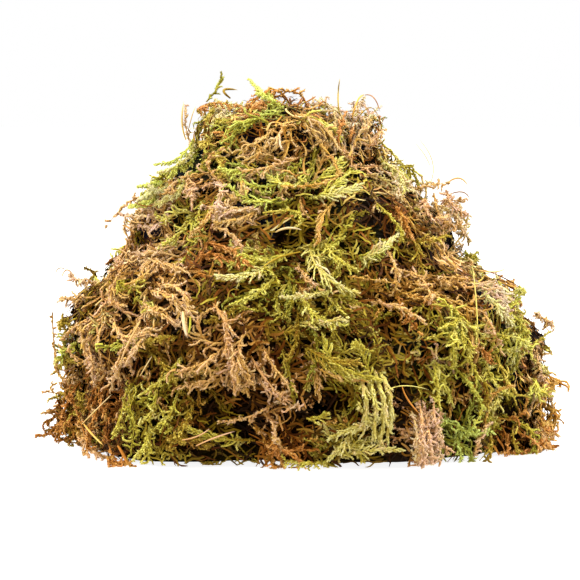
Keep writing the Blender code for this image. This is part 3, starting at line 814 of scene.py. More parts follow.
@functools.cache
def skin_grid():
    """The distance from the heart to the heap's skin, for a grid of directions.

    Each is the mean distance of the tufts' outer corners, weighted by exp(blur (cos a - 1)) for the
    angle a between the direction and the corner. Corners well outside a first mean are left out.
    """
    corners, _ = tuft_corners()
    inside = (np.hypot(corners[:, 0], corners[:, 1]) < HEAP_AXIS_CLEAR) & (corners[:, 2] < HEAP_TOP)
    away = corners[~inside] - HEART
    distance = np.linalg.norm(away, axis=1)
    around = np.linspace(0, 2 * math.pi, SKIN_AROUND, endpoint=False)
    rise = np.linspace(SKIN_LOWEST, math.pi / 2, SKIN_UP)
    rise, around = np.meshgrid(rise, around, indexing="ij")
    ways = directions(rise, around)
    weight = np.exp(SKIN_BLUR * (ways.reshape(-1, 3) @ unit(away).T - 1)) + 1e-30
    mean = weight @ distance / weight.sum(1)
    weight = weight * (distance[None] < mean[:, None] + STRAY_HEIGHT) + 1e-30
    return (weight @ distance / weight.sum(1)).reshape(SKIN_UP, SKIN_AROUND)


def skin_radius(ways):
    """The distance from the heart to the skin along unit vectors, read between the grid's points."""
    grid = skin_grid()
    column = (np.arctan2(ways[..., 1], ways[..., 0]) % (2 * math.pi)) / (2 * math.pi) * SKIN_AROUND
    row = (np.arcsin(ways[..., 2].clip(-1, 1)) - SKIN_LOWEST) / (math.pi / 2 - SKIN_LOWEST)
    row = (row * (SKIN_UP - 1)).clip(0, SKIN_UP - 1.001)
    left, low = column.astype(int), row.astype(int)
    across, up = column - left, row - low
    left, right = left % SKIN_AROUND, (left + 1) % SKIN_AROUND
    lower = grid[low, left] * (1 - across) + grid[low, right] * across
    upper = grid[low + 1, left] * (1 - across) + grid[low + 1, right] * across
    return lower * (1 - up) + upper * up


def above_skin(points):
    """How far points stand outside the skin, measured from the heart."""
    away = points - HEART
    return np.linalg.norm(away, axis=-1) - skin_radius(unit(away))


def skin_normal(points):
    """The way out of the skin: the slope of above_skin, from a step to each side on each axis."""
    steps = np.eye(3) * SLOPE_STEP
    slopes = [above_skin(points + step) - above_skin(points - step) for step in steps]
    return unit(np.stack(slopes, -1))


def onto_skin(points, lift):
    """Points moved along their line from the heart until they stand this far outside the skin."""
    ways = unit(points - HEART)
    placed = HEART + ways * (skin_radius(ways) + lift)[..., None]
    placed[..., 2] = placed[..., 2].clip(STEM_CLEAR)
    return placed


def camera_frame():
    """The camera's place, its right, its up and the way back from the heap to it."""
    right = np.array((1.0, 0.0, 0.0))
    up = np.array((0.0, math.sin(CAMERA_RISE), math.cos(CAMERA_RISE)))
    back = np.array((0.0, -math.cos(CAMERA_RISE), math.sin(CAMERA_RISE)))
    middle = right * (PICTURE / 2 - BASE_MIDDLE[0]) * PIXEL
    middle = middle + np.array((0, 0, (BASE_MIDDLE[1] - PICTURE / 2) * PIXEL / up[2]))
    return middle + back * CAMERA_DISTANCE, right, up, back


def seen_at(across, down, lift):
    """Where the picture's lines of sight meet a surface that stands this far outside the skin.

    Along each line, the first step at which above_skin falls below the lift is halved down. A line
    that misses the surface gives its nearest point to it.
    """
    place, right, up, back = camera_frame()
    aside = (across - PICTURE / 2)[..., None] * PIXEL
    over = (PICTURE / 2 - down)[..., None] * PIXEL
    ray = aside * right + over * up - back * CAMERA_DISTANCE
    height = above_skin(place + ray[..., None, :] * SIGHT_STEPS[:, None]) - lift[..., None]
    under = height < 0
    hit = under.any(-1)
    first = np.where(hit, under.argmax(-1), height.argmin(-1))
    near = SIGHT_STEPS[(first - 1).clip(0)]
    far = SIGHT_STEPS[first]
    for _ in range(SIGHT_HALVINGS):
        middle = (near + far) / 2
        out = above_skin(place + ray * middle[..., None]) > lift
        near, far = np.where(out & hit, middle, near), np.where(out | ~hit, far, middle)
    found = np.where(hit, far, SIGHT_STEPS[first])
    points = place + ray * found[..., None]
    points[..., 2] = points[..., 2].clip(SEEN_CLEAR)
    return points


# Shoots


class Shoots(NamedTuple):
    """Shoots as arrays: the points of each stem, the way out of the skin at them, and how it grows."""

    stem: np.ndarray
    out: np.ndarray
    kind: np.ndarray
    shade: np.ndarray
    light: np.ndarray
    size: np.ndarray


def joined(*groups):
    """Groups of shoots as one."""
    return Shoots(*(np.concatenate(parts) for parts in zip(*groups)))


def chosen(rows, which):
    """Those shoots or curves of a set that a mask picks."""
    return type(rows)(*(values[which] for values in rows))


def lift_profile(lift):
    """How far off the skin each point of a stem is: rooted 4 mm deep, at its lift from a third of
    the way, and a third lower again at the tip."""
    along = np.linspace(0, 1, STEM_POINTS)
    rooted = -4 * MM * (1 - np.minimum(along / 0.30, 1.0)) ** 1.5
    return rooted + lift[:, None] * np.minimum(along / 0.35, 1.0) * (1 - 0.35 * along)


def rolled(stem, roll):
    """The way out of the skin at each point of the stems, rolled about the stem by an angle."""
    out = skin_normal(stem)
    side = unit(np.cross(out, np.gradient(stem, axis=1)))
    return out * np.cos(roll)[:, None, None] + side * np.sin(roll)[:, None, None]


def shown_stems():
    """The stems of the shoots that stand out on the front. Each is a bow between two pixels: the
    straight way, plus 4 t (1 - t) times the bow to its left. Where the skin turns away from the
    camera, so that a stem would be too long, it starts nearer to its tip. A stem that spans much
    depth strays aside by sin(pi t) of a random share of that depth."""
    start = columns(SHOWN, "root_across", "root_down")
    way = columns(SHOWN, "tip_across", "tip_down") - start
    left = unit(np.stack((way[:, 1], -way[:, 0]), -1))
    bow = columns(SHOWN, "bow")

    def bowed(along):
        bows = 4 * along * (1 - along) * bow
        pixels = start[:, None] + way[:, None] * along[..., None] + left[:, None] * bows[..., None]
        return np.moveaxis(pixels, -1, 0)

    along = np.tile(np.linspace(0, 1, STEM_POINTS), (len(SHOWN), 1))
    level = seen_at(*bowed(along), np.zeros_like(along))
    steps = np.diff(level, axis=1, prepend=level[:, :1])
    back = camera_frame()[3]
    run = (np.linalg.norm(steps, axis=-1) + DEPTH_COUNTS * np.abs(steps @ back)).cumsum(1)
    spare = (run[:, -1] - LONGEST_SHOOT).clip(0)
    first = np.array([np.interp(*each) for each in zip(spare, run, along)])[:, None]
    lift = columns(SHOWN, "lift")[:, 0] * MM
    stem = seen_at(*bowed(first + (1 - first) * along), lift_profile(lift))
    for _ in range(SMOOTHINGS):
        stem[:, 1:-1] = (stem[:, :-2] + 2 * stem[:, 1:-1] + stem[:, 2:]) / 4
    deep = (np.abs((stem[:, -1] - stem[:, 0]) @ back) - DEPTH_FREE).clip(0, DEPTH_MOST)
    draw = np.random.default_rng(STRAY_SEED).normal(0, DEPTH_STRAY, len(SHOWN))
    stray = draw.clip(-DEPTH_STRAY_MOST, DEPTH_STRAY_MOST) * deep
    aside = unit(np.cross(skin_normal(stem), np.gradient(stem, axis=1)))
    stem = stem + aside * (stray[:, None] * np.sin(math.pi * along))[..., None]
    stem[..., 2] = stem[..., 2].clip(STEM_CLEAR)
    return stem


def shown_shoots():
    """The shoots that stand out on the front, as light as the patches that they are over."""
    stem = shown_stems()
    kinds = np.array([KIND_NUMBER[shoot.kind] for shoot in SHOWN])
    shades = np.array([SHADE[shoot.shade] for shoot in SHOWN])
    roll = np.random.default_rng(ROLL_SEED).normal(0, SHOWN_ROLL, len(SHOWN))
    pick, _ = patch_at(stem[:, STEM_MIDDLE])
    every = patches()
    # painted light: these shoots lie uppermost and are painted lighter, on top of their patch's light
    light = SHOWN_LIGHT * np.where(every.kind[pick] >= 0, every.light[pick], 1.0)
    return Shoots(stem, rolled(stem, roll), kinds, shades, light, columns(SHOWN, "size")[:, 0])


def laid_stems(root, way, length, bend, lift):
    """Stems that creep over the skin from their roots: at each step the way is laid flat on the
    skin, turned a little about the way out, and followed for an eighth of the length."""
    profile = lift_profile(lift)
    point = onto_skin(root, profile[:, 0])
    stem = [point]
    for step in range(1, STEM_POINTS):
        out = skin_normal(point)
        way = unit(way - out * (way * out).sum(-1, keepdims=True))
        turn = (bend / (STEM_POINTS - 1))[:, None]
        way = way * np.cos(turn) + np.cross(out, way) * np.sin(turn)
        point = onto_skin(point + way * (length / (STEM_POINTS - 1))[:, None], profile[:, step])
        stem.append(point)
    return np.stack(stem, 1)


def spread_over_skin(count, candidates, rng):
    """Points spread evenly over the heap: a golden spiral of directions, thinned to equal areas."""
    index = np.arange(candidates) + 0.5
    rise = np.arcsin(1 - index / candidates * (1 - math.sin(SPREAD_LOWEST)))
    around = index * math.pi * (3 - math.sqrt(5))
    ways = directions(rise, around)
    points = HEART + ways * skin_radius(ways)[:, None]
    slant = (skin_normal(points) * ways).sum(-1).clip(0.3)
    area = np.where(points[:, 2] > 2 * MM, skin_radius(ways) ** 2 / slant, 0)
    place = np.cumsum(area) / area.sum()
    picks = np.searchsorted(place, (np.arange(count) + rng.random(count)) / count)
    return points[picks.clip(0, candidates - 1)]


def way_on_skin(points, degrees):
    """The way along the skin that someone facing it sees at this angle from right to up."""
    out = skin_normal(points)
    right = unit(np.cross((0.0, 0.0, 1.0), points - HEART * (1, 1, 0)))
    up = np.cross(out, right)
    angle = np.radians(degrees)[:, None]
    return right * np.cos(angle) + up * np.sin(angle)


class Patches(NamedTuple):
    """Patches of growth as arrays: their middles and reaches, and what grows there. A kind of -1 is
    a dark gap."""

    middle: np.ndarray
    reach: np.ndarray
    shade: np.ndarray
    kind: np.ndarray
    turn: np.ndarray
    light: np.ndarray


@functools.cache
def patches():
    """The patches of the front by their pixels, and on the other sides a seeded mix. Their painted
    light rises evenly with the height, by CROWN_PAINTED_LIGHT in all."""
    rng = np.random.default_rng(PATCH_SEED)
    across, down, reach = columns(SHOWN_PATCHES, "across", "down", "reach").T
    turn, light = columns(SHOWN_PATCHES, "turn", "light").T
    shown = seen_at(across, down, np.zeros(len(across)))
    others = spread_over_skin(HIDDEN_PATCHES, HIDDEN_CANDIDATES, rng)
    apart = np.linalg.norm(others[:, None] - shown[None], axis=-1).min(1)
    others = others[(apart > HIDDEN_APART) & (others[:, 1] > HIDDEN_FRONT)]
    picks = rng.choice(len(PATCH_MIX), len(others), p=[share for _, _, share in PATCH_MIX])
    grown_there = [(patch.shade, patch.kind) for patch in SHOWN_PATCHES]
    grown_there += [PATCH_MIX[pick][:2] for pick in picks]
    middle = np.concatenate((shown, others))
    # painted light: the growth is painted lighter towards the top of the heap
    pale = 1 + CROWN_PAINTED_LIGHT * ((middle[:, 2] - CROWN_LIGHT_FROM) / CROWN_LIGHT_OVER).clip(0, 1)
    return Patches(
        middle,
        np.concatenate((reach * PIXEL, rng.uniform(*PATCH_REACH, len(others)))),
        np.array([SHADE[shade] for shade, _ in grown_there]),
        np.array([KIND_NUMBER.get(kind, -1) for _, kind in grown_there]),
        np.concatenate((turn, rng.uniform(*HIDDEN_TURN, len(others)))),
        np.concatenate((light, np.ones(len(others)))) * pale,
    )


@functools.cache
def swell_places():
    """Where the growth stands out or sinks in, with the dark gaps of the front, and how far."""
    gaps = [Swell(*patch[:3], -GAP_DEPTH) for patch in SHOWN_PATCHES if not patch.kind]
    across, down, reach, rise = np.array([*SWELLS, *gaps], float).T
    return seen_at(across, down, np.zeros(len(across))), reach * PIXEL, rise * MM


def swell(points):
    """How far the growth stands out at points: the sum over the swells of rise exp(-(d / reach)^2)."""
    middle, reach, rise = swell_places()
    apart = np.linalg.norm(points[:, None] - middle[None], axis=-1) / reach
    return (rise * np.exp(-(apart**2))).sum(1)


def patch_at(points, rng=None):
    """The patch that each point belongs to: the nearest for its reach, with ragged borders where a
    source of random numbers is given. The second value is how near the patch's middle the point is:
    1 there and 0 from its border on."""
    every = patches()
    apart = np.linalg.norm(points[:, None] - every.middle[None], axis=-1) / every.reach
    inner = (PATCH_BORDER - apart.min(1)).clip(0, 1)
    if rng is not None:
        apart = apart + rng.uniform(0, PATCH_RAGGED, apart.shape)
    return apart.argmin(1), inner


def over_gap(stems):
    """Whether the outer part of each stem runs over the inner part of a dark gap."""
    every = patches()
    gaps = every.kind < 0
    outer = stems[:, STEM_POINTS // 3:, None]
    apart = np.linalg.norm(outer - every.middle[gaps], axis=-1) / every.reach[gaps]
    return (apart < GAP_CLEAR).any((1, 2))


def levelled_low(turn, height):
    """Ways along the skin in degrees, where those near the floor that point down by more than 30
    degrees are laid flatter, to the side that they lean to."""
    down = (height < LOW_GROWTH) & (turn < -30) & (turn > -150)
    return np.where(down, turn * FLATTER - np.where(turn < -90, 180 * (1 - FLATTER), 0), turn)


def filling_shoots(count, rng):
    """Shoots that cover the heap all round, in the shade, kind and way of the patch they are in."""
    roots = spread_over_skin(count, FILL_CANDIDATES, rng)
    roots = onto_skin(roots + rng.normal(0, FILL_SCATTER, roots.shape), np.zeros(count))
    pick, inner = patch_at(roots, rng)
    every = patches()
    grows = every.kind[pick] >= 0
    roots, pick, inner = roots[grows], pick[grows], inner[grows]
    count = len(pick)
    kind, shade = every.kind[pick], every.shade[pick]
    combed = np.where(kind == KIND_NUMBER["comb"], COMBED, 1.0)
    turn = every.turn[pick] + rng.normal(0, FILL_TURN, count) * combed
    length = rng.uniform(*FILL_LENGTH, count)
    way = way_on_skin(roots, levelled_low(turn, roots[:, 2]))
    start = roots - way * length[:, None] * FILL_BEHIND
    lift = rng.uniform(*FILL_LIFT, count) + BULGE * (inner - 0.5) + swell(roots)
    lift = lift - FLOOR_TUCK * (1 - roots[:, 2] / (10 * MM)).clip(0, 1)
    stem = laid_stems(start, way, length, rng.normal(0, 1.0, count), lift)
    shade = np.where(rng.random(count) < FILL_MIXED, rng.permutation(shade), shade)
    shade = (shade + rng.normal(0, FILL_SHADE_SPREAD, count)).clip(0, 1)
    light = rng.normal(*FILL_LIGHT, count).clip(*FILL_LIGHT_RANGE)
    # painted shade: darker towards a patch's border, where the tufts meet
    light = light * graded(PATCH_INNER, inner) * every.light[pick]
    roll = rng.normal(0, FILL_ROLL, count) * np.where(kind == KIND_NUMBER["cushion"], LEVEL, 1.0)
    size = rng.uniform(*FILL_SIZE, count)
    return chosen(Shoots(stem, rolled(stem, roll), kind, shade, light, size), ~over_gap(stem))


def sprays_of(corners, height):
    """The foot, middle and tip of each spray among a tuft's outer corners: its tip stands out most,
    its foot is the mean of its corners furthest from the tip, and its middle that of those between."""
    for _ in range(SPRAYS_A_TUFT):
        if not len(corners) or height.max() < SPRAY_TIP_OUT:
            return
        tip = corners[height.argmax()]
        apart = np.linalg.norm(corners - tip, axis=1)
        near = apart < SPRAY_REACH
        spray, spread = corners[near], apart[near]
        foot = spray[spread >= np.quantile(spread, 0.8)].mean(0)
        middle = spray[(spread > 0.3 * spread.max()) & (spread < 0.8 * spread.max())]
        middle = middle.mean(0) if len(middle) else (foot + tip) / 2
        yield foot - (middle - foot) / 2, middle, tip
        corners, height = corners[~near], height[~near]


def spray_shoots(rng):
    """A shoot over each spray that stands out of a tuft: it starts behind the spray's foot, passes
    through its middle and ends at its tip. Those of the topmost sprigs are fresh green ferns."""
    corners, owners = tuft_corners()
    height = above_skin(corners)
    beside = np.hypot(corners[:, 0], corners[:, 1]) > HEAP_AXIS_CLEAR
    out = (height > SPRAY_OUT) & (beside | (corners[:, 2] > HEAP_TOP))
    along = np.linspace(0, 1, STEM_POINTS)[:, None]
    every = patches()
    stems, shades, kinds = [], [], []
    for number in range(len(TUFTS)):
        mine = out & (owners == number)
        for foot, middle, tip in sprays_of(corners[mine], height[mine]):
            stems.append(curve_through(foot, middle, tip, along))
            pick = patch_at(tip[None])[0][0]
            sprig = tip[2] > SPRIG_HEIGHT
            shades.append(SHADE["green"] if sprig else every.shade[pick])
            kinds.append(KIND_NUMBER["fern"] if sprig else max(every.kind[pick], 0))
    stem = np.array(stems)
    stem[..., 2] = stem[..., 2].clip(STEM_CLEAR)
    return Shoots(stem, skin_normal(stem), np.array(kinds), np.array(shades), np.ones(len(stem)),
                  rng.uniform(*SPRAY_SIZE, len(stem)))


def tuft_at(points):
    """The number of the tuft that has the corner nearest to each point."""
    corners, owners = tuft_corners()
    tree = KDTree(len(corners))
    for number, corner in enumerate(corners):
        tree.insert(corner, number)
    tree.balance()
    return owners[[tree.find(point)[1] for point in points]]


@functools.cache
def all_shoots(count, seed):
    """Every shoot of the heap, and the number of the tuft that the middle of its stem is in."""
    rng = np.random.default_rng(seed)
    shoots = joined(shown_shoots(), spray_shoots(rng), filling_shoots(count, rng))
    return shoots, tuft_at(shoots.stem[:, STEM_MIDDLE])


# Branches and leaves


def read_along(values, place):
    """Rows of values, one set a row, read at places from 0 to 1 along them."""
    count = values.shape[1]
    at = place * (count - 1)
    low = at.astype(int).clip(0, count - 2)
    share = (at - low)[..., None]
    rows = np.arange(len(values)).reshape((-1,) + (1,) * (low.ndim - 1))
    return values[rows, low] * (1 - share) + values[rows, low + 1] * share


class Curves(NamedTuple):
    """Tapering curves as arrays: points, ways along, one way that is square to all of them, radius
    at each point, shade and light."""

    point: np.ndarray
    way: np.ndarray
    flat: np.ndarray
    radius: np.ndarray
    shade: np.ndarray
    light: np.ndarray


def ring_places(rings):
    """Where the rings of a branch are, from 0 to 1: closer together towards its blunt tip."""
    return 1 - (1 - np.linspace(0, 1, rings)) ** 1.45


def grown(start, way, bent_to, length, curl, wave, phase, rings):
    """Curves that turn from one way towards another. The way at s is cos a way + sin a bent_to,
    with a = curl s + wave sin(2.2 pi s + phase), and a smaller wave square to both. The points add
    up those ways over the length."""
    along = ring_places(rings)
    angle = curl[:, None] * along + wave[:, None] * np.sin(2.2 * math.pi * along + phase[:, None])
    flat = unit(np.cross(way, bent_to))
    ways = way[:, None] * np.cos(angle)[..., None] + bent_to[:, None] * np.sin(angle)[..., None]
    aside = 0.7 * wave[:, None] * np.cos(3.1 * math.pi * along + 2 * phase[:, None])
    ways = unit(ways + flat[:, None] * aside[..., None])
    steps = (ways[:, 1:] + ways[:, :-1]) / 2 * (length[:, None] * np.diff(along))[..., None]
    points = start[:, None] + np.concatenate((np.zeros_like(start)[:, None], np.cumsum(steps, 1)), 1)
    return points, ways, flat


def branches(shoots, kind, size, rng):
    """The branches of shoots of one kind. They leave the stem on its two sides in turn, and the last
    one carries on from its tip. At t of the way up the stem, the angle is 1 - 0.45 t of the kind's,
    and the length the lesser of 1 and 0.45 + 2.2 t, times 1 - (1 - tip) t^1.6 with the kind's tip."""
    stem = shoots.stem
    run = np.linalg.norm(np.diff(stem, axis=1), axis=-1).sum(1)
    count = np.maximum((run / (kind.gap * MM * size)).astype(int), 4)
    owner = np.repeat(np.arange(len(stem)), count)
    number = np.arange(count.sum()) - np.repeat(np.cumsum(count) - count, count)
    total = len(owner)
    last = number == count[owner] - 1
    place = ((number + rng.uniform(*BRANCH_PLACE, total)) / count[owner]).clip(0, 1)
    place = np.where(last, 1.0, place)
    start = read_along(stem[owner], place)
    ahead = unit(read_along(np.gradient(stem, axis=1)[owner], place))
    out = read_along(shoots.out[owner], place)
    out = unit(out - ahead * (out * ahead).sum(-1, keepdims=True))
    side = np.cross(out, ahead) * np.where(number % 2, 1.0, -1.0)[:, None]
    angle = np.radians(kind.angle * (1 - 0.45 * place) * rng.uniform(*BRANCH_ANGLE, total))
    angle = np.where(last, LAST_ANGLE, angle)
    rise = np.radians(rng.normal(*BRANCH_RISE, total) * kind.rise)
    aside = side * np.cos(rise)[:, None] + out * np.sin(rise)[:, None]
    way = ahead * np.cos(angle)[:, None] + aside * np.sin(angle)[:, None]
    pull = ahead * PULL_AHEAD + aside * PULL_ASIDE + DOWN * PULL_DOWN
    pull = pull + rng.normal(0, kind.stray, (total, 3)) + out * PULL_OUT
    bent_to = unit(pull - way * (pull * way).sum(-1, keepdims=True))
    share = np.minimum(1.0, 0.45 + 2.2 * place) * (1 - (1 - kind.tip) * place**1.6)
    length = kind.length * MM * size * shoots.size[owner] * share * rng.uniform(*BRANCH_LENGTH, total)
    curl = np.radians(kind.curl) * rng.normal(*BRANCH_CURL, total)
    wave = np.radians(kind.wave) * rng.uniform(*BRANCH_WAVE, total)
    phase = rng.uniform(*ANY_PHASE, total)
    points, ways, flat = grown(start, way, bent_to, length, curl, wave, phase, kind.rings)
    points[..., 2] = points[..., 2].clip(BRANCH_CLEAR)
    bulges = 1 + 0.16 * np.cos(math.pi * np.arange(kind.rings))
    taper = (1 - 0.35 * ring_places(kind.rings)) * bulges
    radius = kind.core * MM * size * rng.uniform(*BRANCH_THICKNESS, total)[:, None] * taper
    shade = (shoots.shade[owner] + rng.normal(0, BRANCH_SHADE_SPREAD, total)).clip(0, 1)
    light = shoots.light[owner] * rng.normal(*BRANCH_LIGHT, total).clip(*BRANCH_LIGHT_RANGE)
    return Curves(points, ways, flat, radius, shade, light)


def stem_curves(shoots, radius):
    """The stems of the shoots, which taper to a third of their radius. Those of the greener shoots
    are a little yellower than their branches."""
    stem = shoots.stem
    ways = unit(np.gradient(stem, axis=1))
    flat = unit(np.cross(ways[:, 0], shoots.out[:, STEM_MIDDLE]))
    taper = (1 - 0.66 * np.linspace(0, 1, STEM_POINTS)) * radius
    radii = taper[None] * np.sqrt(shoots.size)[:, None]
    shade = np.where(shoots.shade < SHADE["pale_yellow"], shoots.shade + 0.05, shoots.shade)
    return Curves(stem, ways, flat, radii, shade.clip(0, 1), shoots.light * 0.8)


class Surface(NamedTuple):
    """A triangle mesh as arrays, with (shade, light, tip, age) at each corner. The light is painted
    light and shade, and the age darkens deep parts partly as painted shade.
    """

    corners: np.ndarray
    triangles: np.ndarray
    growth: np.ndarray


def merged(surfaces):
    """Meshes as one."""
    offsets = np.cumsum([0] + [len(part.corners) for part in surfaces[:-1]])
    return Surface(
        np.concatenate([part.corners for part in surfaces]),
        np.concatenate([part.triangles + start for part, start in zip(surfaces, offsets)]),
        np.concatenate([part.growth for part in surfaces]),
    )


def outer_share(points, ways):
    """How far ways at points lean out of the heap: 1 straight away from the heart and 0 towards it."""
    return 0.5 + 0.5 * (unit(points - HEART) * ways).sum(-1)


def age_and_shade_of(points):
    """0 on the heap's skin and outside it, and 1 from AGE_AND_SHADE_DEPTH below it: the age of the moss,
    which also darkens it there as painted shade.
    """
    return (-above_skin(points) / AGE_AND_SHADE_DEPTH).clip(0, 1)


def tubes(curves, sides=3):
    """Thin tubes round curves, closed by a point at the tip: rings of p + r (cos a u + sin a v),
    with u and v square to the way at p."""
    point, way, flat, radius = curves[:4]
    count, rings = radius.shape
    across = unit(np.cross(way, flat[:, None]))
    square = np.cross(across, way)
    angle = np.arange(sides) * 2 * math.pi / sides
    spokes = across[:, :, None] * np.cos(angle)[:, None] + square[:, :, None] * np.sin(angle)[:, None]
    corners = point[:, :-1, None] + radius[:, :-1, None, None] * spokes[:, :-1]
    outer = outer_share(corners, spokes[:, :-1]).reshape(count, -1)
    outer = np.concatenate((outer, np.ones((count, 1))), 1)
    corners = np.concatenate((corners.reshape(count, -1, 3), point[:, -1:]), 1)
    ring, side = np.meshgrid(np.arange(rings - 2) * sides, np.arange(sides), indexing="ij")
    a, b = (ring + side).ravel(), (ring + (side + 1) % sides).ravel()
    wall = np.concatenate((np.stack((a, b, b + sides), -1), np.stack((a, b + sides, a + sides), -1)))
    last = (rings - 2) * sides + np.arange(sides)
    cap = np.stack((last, (rings - 2) * sides + (np.arange(sides) + 1) % sides,
                    np.full(sides, (rings - 1) * sides)), -1)
    pattern = np.concatenate((wall, cap))
    each = corners.shape[1]
    triangles = (pattern[None] + (np.arange(count) * each)[:, None, None]).reshape(-1, 3)
    along = np.concatenate((np.repeat(np.linspace(0, 1, rings)[:-1], sides), (1.0,)))
    growth = np.empty((count, each, 4))
    growth[..., 0] = curves.shade[:, None]
    # painted shade: darker towards the root and on the sides that face into the heap
    growth[..., 1] = curves.light[:, None] * graded(TUBE_ALONG, along) * graded(TUBE_OUTER, outer)
    growth[..., 2] = graded(BRANCH_TIPS, along**2)
    growth[..., 3] = age_and_shade_of(corners)
    return Surface(corners.reshape(-1, 3), triangles, growth.reshape(-1, 4))


def strips(curves):
    """Flat strips along curves, which face away from the heart."""
    count, rings = curves.radius.shape
    across = unit(np.cross(curves.way, curves.point - HEART)) * curves.radius[..., None]
    corners = np.stack((curves.point - across, curves.point + across), 2)
    corners[..., 2] = corners[..., 2].clip(FLOOR_CLEAR)
    a = np.arange(rings - 1) * 2
    pattern = np.concatenate((np.stack((a, a + 1, a + 2), -1), np.stack((a + 1, a + 3, a + 2), -1)))
    triangles = (pattern + (np.arange(count) * rings * 2)[:, None, None]).reshape(-1, 3)
    along = np.linspace(0, 1, rings)[:, None]
    growth = np.empty((count, rings, 2, 4))
    growth[..., 0] = curves.shade[:, None, None]
    # painted shade: darker towards the root
    growth[..., 1] = curves.light[:, None, None] * graded(STRIP_ALONG, along)
    growth[..., 2] = graded(BRANCH_TIPS, along**2)
    growth[..., 3] = age_and_shade_of(corners)
    return Surface(corners.reshape(-1, 3), triangles, growth.reshape(-1, 4))


@functools.cache
def thatch(count, seed):
    """Flattened old branches that lie close together under the shoots, and each one's tuft."""
    rng = np.random.default_rng(seed + 1)
    root = spread_over_skin(count, THATCH_CANDIDATES, rng)
    scattered = root + rng.normal(0, THATCH_SCATTER, root.shape)
    root = onto_skin(scattered, rng.uniform(*THATCH_LIFT, count) + swell(root))
    pick, _ = patch_at(root, rng)
    every = patches()
    way = way_on_skin(root, every.turn[pick] + rng.normal(0, THATCH_TURN, count))
    out = skin_normal(root)
    length = rng.uniform(*THATCH_LENGTH, count)
    start = root - way * length[:, None] / 2
    bend = np.cross(out, way) + rng.normal(0, 0.25, (count, 3))
    bend = unit(bend - way * (bend * way).sum(-1, keepdims=True))
    curl, wave = rng.normal(0, 1.0, count), rng.uniform(*THATCH_WAVE, count)
    phase = rng.uniform(*ANY_PHASE, count)
    points, ways, flat = grown(start, way, bend, length, curl, wave, phase, THATCH_POINTS)
    points[..., 2] = points[..., 2].clip(THATCH_CLEAR)
    taper = np.sin(math.pi * np.linspace(0.15, 0.95, THATCH_POINTS)) ** 0.6
    radius = rng.uniform(*THATCH_RADIUS, count)[:, None] * taper
    shade = np.where(rng.random(count) < THATCH_OLD, SHADE["brown"], every.shade[pick])
    shade = (shade + rng.normal(0, 0.04, count)).clip(0, 1)
    # painted shade under the shoots: darker at random, times the square of the patch's painted light
    light = np.interp(rng.random(count) ** 1.6, (0, 1), THATCH_LIGHT) * every.light[pick] ** 2
    return Curves(points, ways, flat, radius, shade, light), tuft_at(root)


def leaves(curves, kind, size, rng):
    """One pointed leaf after another up each branch, 137.5 degrees apart. A leaf is a triangle with
    its base across the branch, which leans out by the kind's angle, and less near the tip."""
    point, way, flat, radius = curves[:4]
    count = len(point)
    place = np.broadcast_to((np.arange(kind.leaves) + 0.5) / kind.leaves, (count, kind.leaves))
    place = (place + rng.uniform(-0.5, 0.5, place.shape) / kind.leaves).clip(0, 1)
    base = read_along(point, place)
    ahead = unit(read_along(way, place))
    across = unit(np.cross(ahead, flat[:, None]))
    square = np.cross(across, ahead)
    turn = np.arange(kind.leaves) * GOLDEN_TURN + rng.uniform(*ANY_PHASE, count)[:, None]
    outward = across * np.cos(turn)[..., None] + square * np.sin(turn)[..., None]
    thick = read_along(radius[..., None], place)
    lean = np.radians(kind.leaf_angle) * (1.1 - 0.6 * place**3) * rng.uniform(*LEAF_LEAN, place.shape)
    blade = ahead * np.cos(lean)[..., None] + outward * np.sin(lean)[..., None]
    grade = (1 - 0.35 * place**2) * rng.uniform(*LEAF_SIZE, place.shape) * MM * size
    half = np.cross(ahead, outward) * (kind.leaf_width / 2 * grade)[..., None]
    foot = base + outward * thick * LEAF_FOOT
    tip = foot + blade * (kind.leaf_length * grade)[..., None]
    corners = np.stack((foot - half, foot + half, tip), 2)
    corners[..., 2] = corners[..., 2].clip(FLOOR_CLEAR)
    growth = np.empty((count, kind.leaves, 3, 4))
    shade = curves.shade[:, None] + rng.normal(0, LEAF_SHADE_SPREAD, place.shape)
    growth[..., 0] = shade[..., None].clip(0, 1)
    light = curves.light[:, None] * rng.normal(*LEAF_LIGHT, place.shape).clip(*LEAF_LIGHT_RANGE)
    # painted shade: darker on leaves that face into the heap and towards the root of the branch
    light = light * graded(LEAF_OUTER, outer_share(base, outward)) * graded(LEAF_ALONG, place)
    growth[..., 1] = light[..., None]
    # painted glints: a few leaves whose tips the material pales as highlights
    white = LEAF_WHITE_GLINT * rng.random(place.shape) ** 3
    growth[..., 2] = (graded(LEAF_TIPS, place) + white)[..., None] + np.array((0.0, 0.0, LEAF_POINT))
    growth[..., 3] = age_and_shade_of(base)[..., None]
    triangles = np.arange(count * kind.leaves * 3).reshape(-1, 3)
    return Surface(corners.reshape(-1, 3), triangles, growth.reshape(-1, 4))


